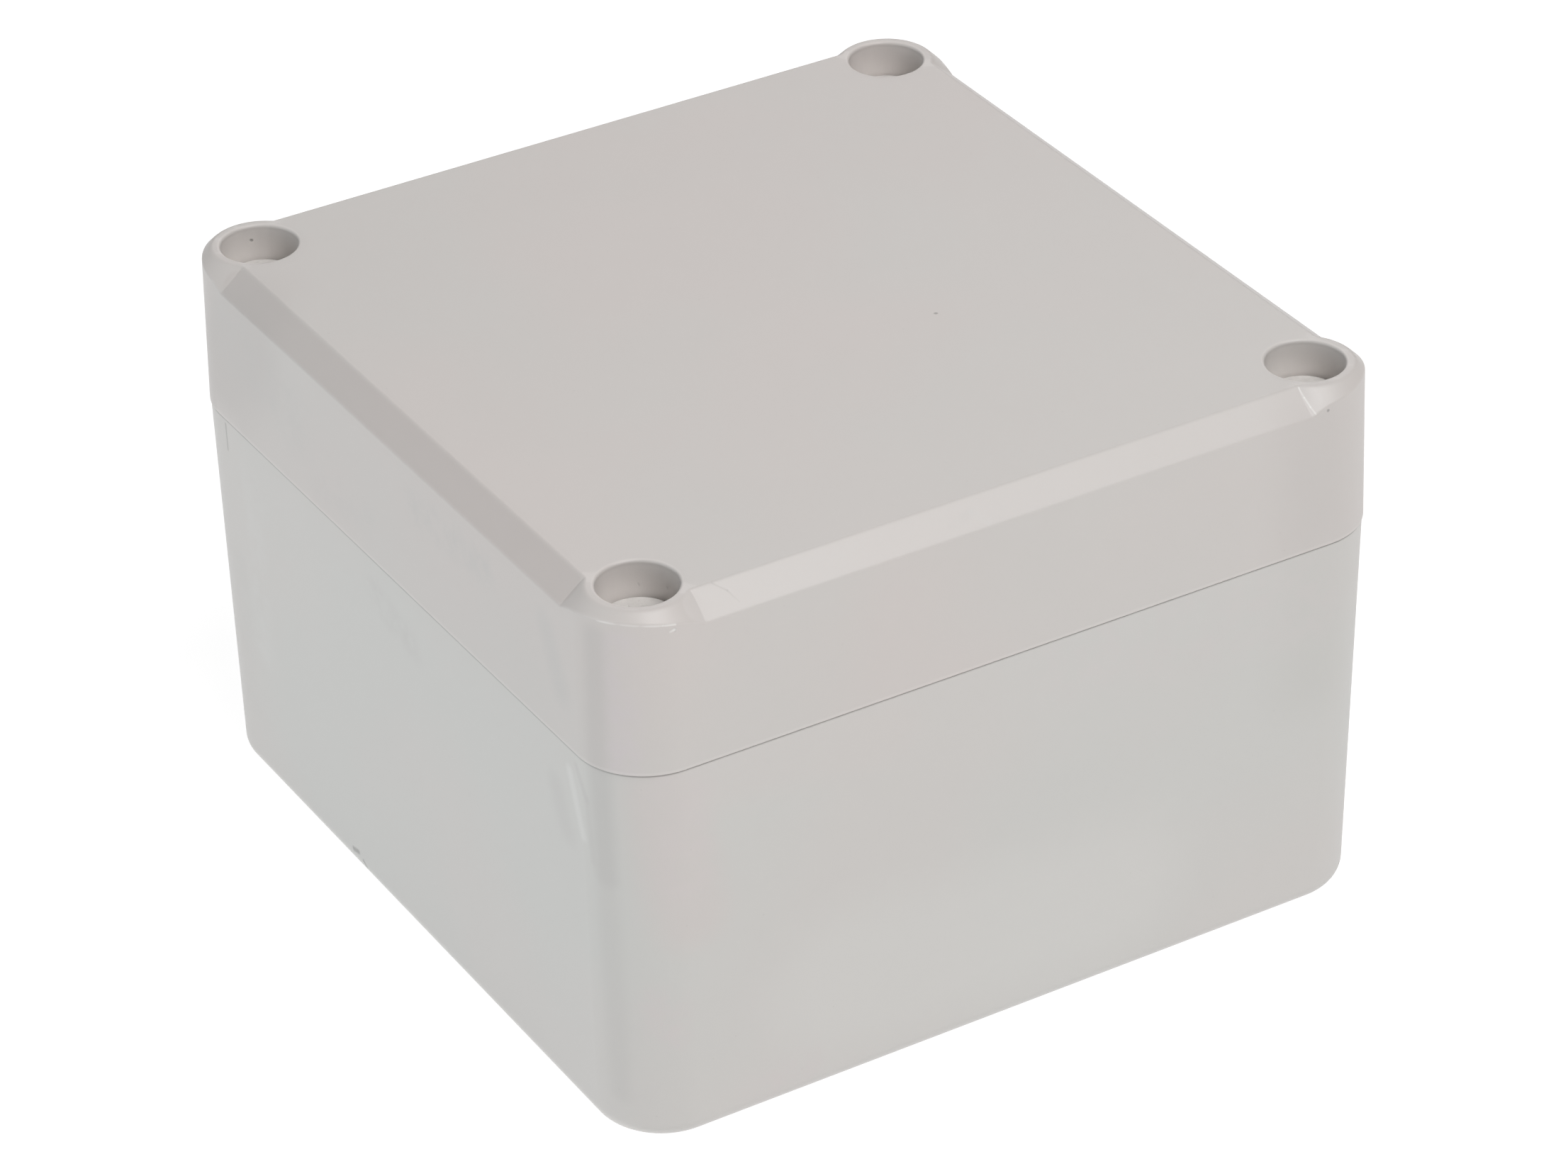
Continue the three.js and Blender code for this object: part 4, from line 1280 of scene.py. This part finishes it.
# radius, z: over a clamp screw, and for a fixing screw
CLAMP_WELL = [(2.7, 18.2), (2.7, 24.9), (2.74, 25.15), (2.9, 25.4), (3.0, 25.6)]
FIXING_WELL = [(1.45, 9.0), (1.45, 20.3), (1.65, 20.5), (1.65, 26)]


def tunnel(pole_x):
    shell = Shell()
    half, low, high = 3.65, 12.08, 19.25
    loops = []
    for y, flare in TUNNEL_STATIONS:
        x, z0, z1 = half + flare, low - flare, high + flare
        section = rounded([(x, z1), (-x, z1), (-x, z0), (x, z0)], 0.3)
        loops.append([(pole_x + a, y, z) for a, z in section])
    loops = shell.skin(loops)
    shell.faces += [loops[0], loops[-1]]
    return mesh_of(shell, "tunnel")


def build_block():
    """One moulded body with a dome over each sleeve, screw wells and wire tunnels."""
    outline = rounded(chamfered(20.5, 10.0, 0.8), 0.4)
    body = prism(outline, PLATE_TOP, BLOCK_TOP, 0.3, "block")
    domes, tools = [], []
    for pole_x in POLES:
        outline = [(pole_x + x, y) for x, y in rounded(rectangle(4.6, 9.2), 1.1, 6)]
        domes.append(prism(outline, PLATE_TOP + 5.0, PLATE_TOP + 15.5, 0.45, "dome", steps=4))
        tools.append(tunnel(pole_x))
        tools += [moved(turned(CLAMP_WELL, 56, "well"), pole_x, y) for y in CLAMP_YS]
    tools += [moved(turned(FIXING_WELL, 40, "well"), x, 0) for x in BLOCK_SCREW_XS]
    return cut(cut(body, domes, "UNION"), tools)


def build_sleeve():
    """A square brass sleeve along Y, with two tapped holes in its top."""
    along_y = Matrix.Rotation(PI / 2, 4, "X")
    section = rounded(rectangle(3.5, 3.5), 0.45, 5)
    body = prism(section, -9.2, 9.2, 0.22, "sleeve", matrix=along_y)
    bore = [(2.9, -12), (2.9, -9.5), (2.3, -8.9), (2.3, 8.9), (2.9, 9.5), (2.9, 12)]
    bore = turned(bore, 56, "bore")
    bore.transform(along_y)
    tools = [bore]
    for y in CLAMP_YS:
        shell = Shell()
        loops = rings([(1.6, 0.2)], 48)
        loops += thread_loops(1.0, 3.3, core_r=1.6, depth=0.14, pitch=0.5, segments=48, rows=7)
        loops = shell.skin(loops + rings([(1.62, 3.36), (1.8, 3.52), (1.9, 4.2)], 48))
        shell.fan(loops[0], (0, 0, 0.2))
        shell.fan(loops[-1], (0, 0, 4.2))
        tools.append(moved(mesh_of(shell, "tapped"), 0, y))
    return untangled(cut(body, tools))


def build_guard():
    """The spring leaf between clamp screw and wire, its ends narrowed and turned up a little."""
    shell = Shell()
    steps, length, half_width, half_thick, mid_z = 16, 4.36, 1.28, 0.15, 16.83
    loops = []
    for k in range(steps + 1):
        y = -length / 2 + length * k / steps
        u = abs(y) / (length / 2)
        x = half_width
        if u >= 0.75:
            x -= 0.45 * (1 - math.sqrt(max(0.0, 1 - ((u - 0.75) / 0.25) ** 2)))
        lift = 0.16 * max(0.0, (u - 0.55) / 0.45) ** 2
        section = rounded(rectangle(x, half_thick), 0.09, 3)
        loops.append([(a, y, mid_z + b + lift) for a, b in section])
    loops = shell.skin(loops)
    shell.faces += [loops[0], loops[-1]]
    return mesh_of(shell, "guard")


def build_clamp_screw(turn):
    """A slotted cheese-head screw."""
    shell, segments = Shell(), 56
    tip, under, top = 17.16, 22.0, 24.2
    loops = rings([(0.9, tip), (1.1, tip + 0.05), (1.2, tip + 0.3)], segments)
    loops += thread_loops(
        tip + 0.34, under - 0.35, core_r=1.2, depth=0.24, pitch=0.5, segments=segments
    )
    head = [(1.2, under - 0.3), (1.25, under), (2.36, under), (2.48, under + 0.12),
            (2.48, top - 0.28), *curve((2.48, top - 0.26), (2.48, top), (2.2, top), 4)]
    loops = shell.skin(loops + rings(head, segments))
    shell.fan(loops[0], (0, 0, tip))
    shell.fan(loops[-1], (0, 0, top))
    tool = Shell()
    # z, half width of the slot
    slot = ((top - 1.1, 0.24), (top - 1.0, 0.34), (top - 0.08, 0.36), (top + 0.3, 0.62))
    loops = tool.skin([at_height(rectangle(3.2, half), z) for z, half in slot])
    tool.cap(loops[0])
    tool.cap(loops[-1])
    slotted = cut(mesh_of(shell, "clamp"), [mesh_of(tool, "slot")])
    slotted.transform(Matrix.Rotation(turn, 4, "Z"))
    return slotted


# ------------------------------------------------------------------ assembly
LID_SCREW_TURNS = (0.25, 0.31, 0.22, 0.27)
PLATE_SCREW_TURNS = (0.3, 1.2, 0.8, 0.1)
CLAMP_SCREW_TURNS = (0.4, 1.3, 2.2, 0.9, 1.9, 0.1)
BLOCK_SCREW_TURNS = (0.5, 1.5)

piece("base_moulding", build_base(), "base", "housing", BASE_PLASTIC)
piece("lid_moulding", build_lid(), "lid", "lid", LID_PLASTIC, sharp_angle=34.0)
piece("seal_cord", build_seal(), "lid_gasket", "lid", RUBBER)

insert_mesh = build_insert()
washer_mesh = build_washer()
for n, (sx, sy) in enumerate(CORNERS, 1):
    at = (sx * SCREW_X, sy * SCREW_Y, 0)
    lid_screw, washer = f"lid_screw_{n}", f"retaining_washer_{n}"
    piece(f"captive_screw_{n}", build_lid_screw(LID_SCREW_TURNS[n - 1]),
          lid_screw, lid_screw, SCREW_PLASTIC, at)
    piece(f"nylon_washer_{n}", washer_mesh.copy(),
          washer, f"screw_retainer_{n}", NYLON, at)
    piece(f"knurled_insert_{n}", insert_mesh.copy(),
          f"threaded_insert_{n}", "housing", BRASS, at)
    plate_screw = build_pan_screw(
        under=PLATE_TOP, r=1.04, length=6.0, head_r=2.88, head_h=1.98, pitch=0.6,
        turn=PLATE_SCREW_TURNS[n - 1],
    )
    piece(f"pan_screw_{n}", plate_screw, f"plate_screw_{n}", "housing", ZINC,
          (sx * PLATE_SCREW_X, sy * PLATE_SCREW_Y, 0))

piece("galvanised_plate", build_plate(), "mounting_plate", "housing", GALVANISED)
piece("terminal_moulding", build_block(),
      "terminal_housing", "housing", BLOCK_PLASTIC)
sleeve_mesh, guard_mesh = build_sleeve(), build_guard()
for i, pole_x in enumerate(POLES):
    piece(f"brass_sleeve_{i + 1}", sleeve_mesh.copy(),
          f"terminal_sleeve_{i + 1}", "housing", BRASS, (pole_x, 0, SLEEVE_Z))
    for n, y in enumerate(CLAMP_YS, 2 * i + 1):
        guard, clamp = f"wire_guard_{n}", f"clamp_screw_{n}"
        piece(f"guard_leaf_{n}", guard_mesh.copy(),
              guard, guard, ZINC, (pole_x, y, 0))
        piece(f"slotted_screw_{n}", build_clamp_screw(CLAMP_SCREW_TURNS[n - 1]),
              clamp, clamp, ZINC, (pole_x, y, 0))
for n, x in enumerate(BLOCK_SCREW_XS, 1):
    block_screw = build_pan_screw(
        under=BLOCK_TOP, r=0.94, length=13.4, head_r=1.4, head_h=1.28, pitch=0.55,
        turn=BLOCK_SCREW_TURNS[n - 1],
    )
    piece(f"fixing_screw_{n}", block_screw,
          f"block_screw_{n}", "housing", ZINC, (x, 0, 0))


# ------------------------------------------------------------------ floor and light, in metres
def floor_white():
    net = Net("floor_white")
    blot = net.noise(scale=0.01, detail=3.0)
    return net.finish({
        "Base Color": net.scale((0.2, 0.2, 0.2), net.spread(blot, base=0.985, amount=0.03)),
        "Roughness": 0.9,
        "Specular IOR Level": 0.1,
        "Emission Color": (1, 1, 1, 1),
        "Emission Strength": 0.92,
    })


FLOOR_HALF = 3.0
floor_material = floor_white()
floor_mesh = bpy.data.meshes.new("floor")
floor_corners = [(-1, -1), (1, -1), (1, 1), (-1, 1)]
floor_mesh.from_pydata(
    [(x * FLOOR_HALF, y * FLOOR_HALF, 0) for x, y in floor_corners], [], [(0, 1, 2, 3)]
)
floor_mesh.materials.append(floor_material)
floor = add_object("floor", floor_mesh)

LIGHT_TARGET = Vector((0, 0, 0.025))


def softbox(name, direction, distance, size, watts, colour):
    """A round area light that faces the target from the given direction."""
    away = Vector(direction).normalized()
    light = bpy.data.lights.new(name, "AREA")
    light.shape, light.size = "DISK", size
    light.energy, light.color = watts, colour
    lamp = add_object(name, light)
    lamp.location = LIGHT_TARGET + away * distance
    lamp.rotation_euler = away.to_track_quat("Z", "Y").to_euler()
    lamp.visible_camera = False


softbox("front_overhead", direction=(0.08, -0.50, 0.86), distance=1.0, size=0.65, watts=8.60,
        colour=(1.0, 0.995, 0.99))
softbox("rear_right", direction=(0.45, 0.65, 0.60), distance=1.0, size=0.8, watts=2.60,
        colour=(1.0, 0.985, 0.985))
softbox("rear_left", direction=(-0.85, 0.50, 0.15), distance=2.0, size=1.2, watts=6.0,
        colour=(0.95, 1.0, 1.02))
softbox("left", direction=(-0.95, 0.05, 0.15), distance=1.0, size=0.8, watts=2.75,
        colour=(0.93, 1.0, 1.03))

# the world itself gives no light
world = bpy.data.worlds.new("studio")
bpy.context.scene.world = world
world.use_nodes = True
background = world.node_tree.nodes["Background"]
background.inputs["Color"].default_value = (1.0, 1.0, 1.0, 1.0)
background.inputs["Strength"].default_value = 0.0

# ------------------------------------------------------------------ camera
CAMERA_PLACE = Vector((-0.2293648, -0.3928406, 0.3101809))
CAMERA_AXES = (
    Vector((0.85635173, -0.51600180, -0.02009608)),  # right
    Vector((0.28924101, 0.44705596, 0.84645177)),  # up
    Vector((-0.42778656, -0.73067306, 0.53208603)),  # back
)
camera_data = bpy.data.cameras.new("camera")
camera_data.sensor_fit, camera_data.sensor_width = "HORIZONTAL", 36.0
camera_data.lens = 132.41
camera_data.clip_start, camera_data.clip_end = 0.01, 20.0
camera = add_object("camera", camera_data)
pose = Matrix(CAMERA_AXES).transposed().to_4x4()
pose.translation = CAMERA_PLACE
camera.matrix_world = pose
bpy.context.scene.camera = camera
bpy.context.scene.view_settings.view_transform = "Standard"
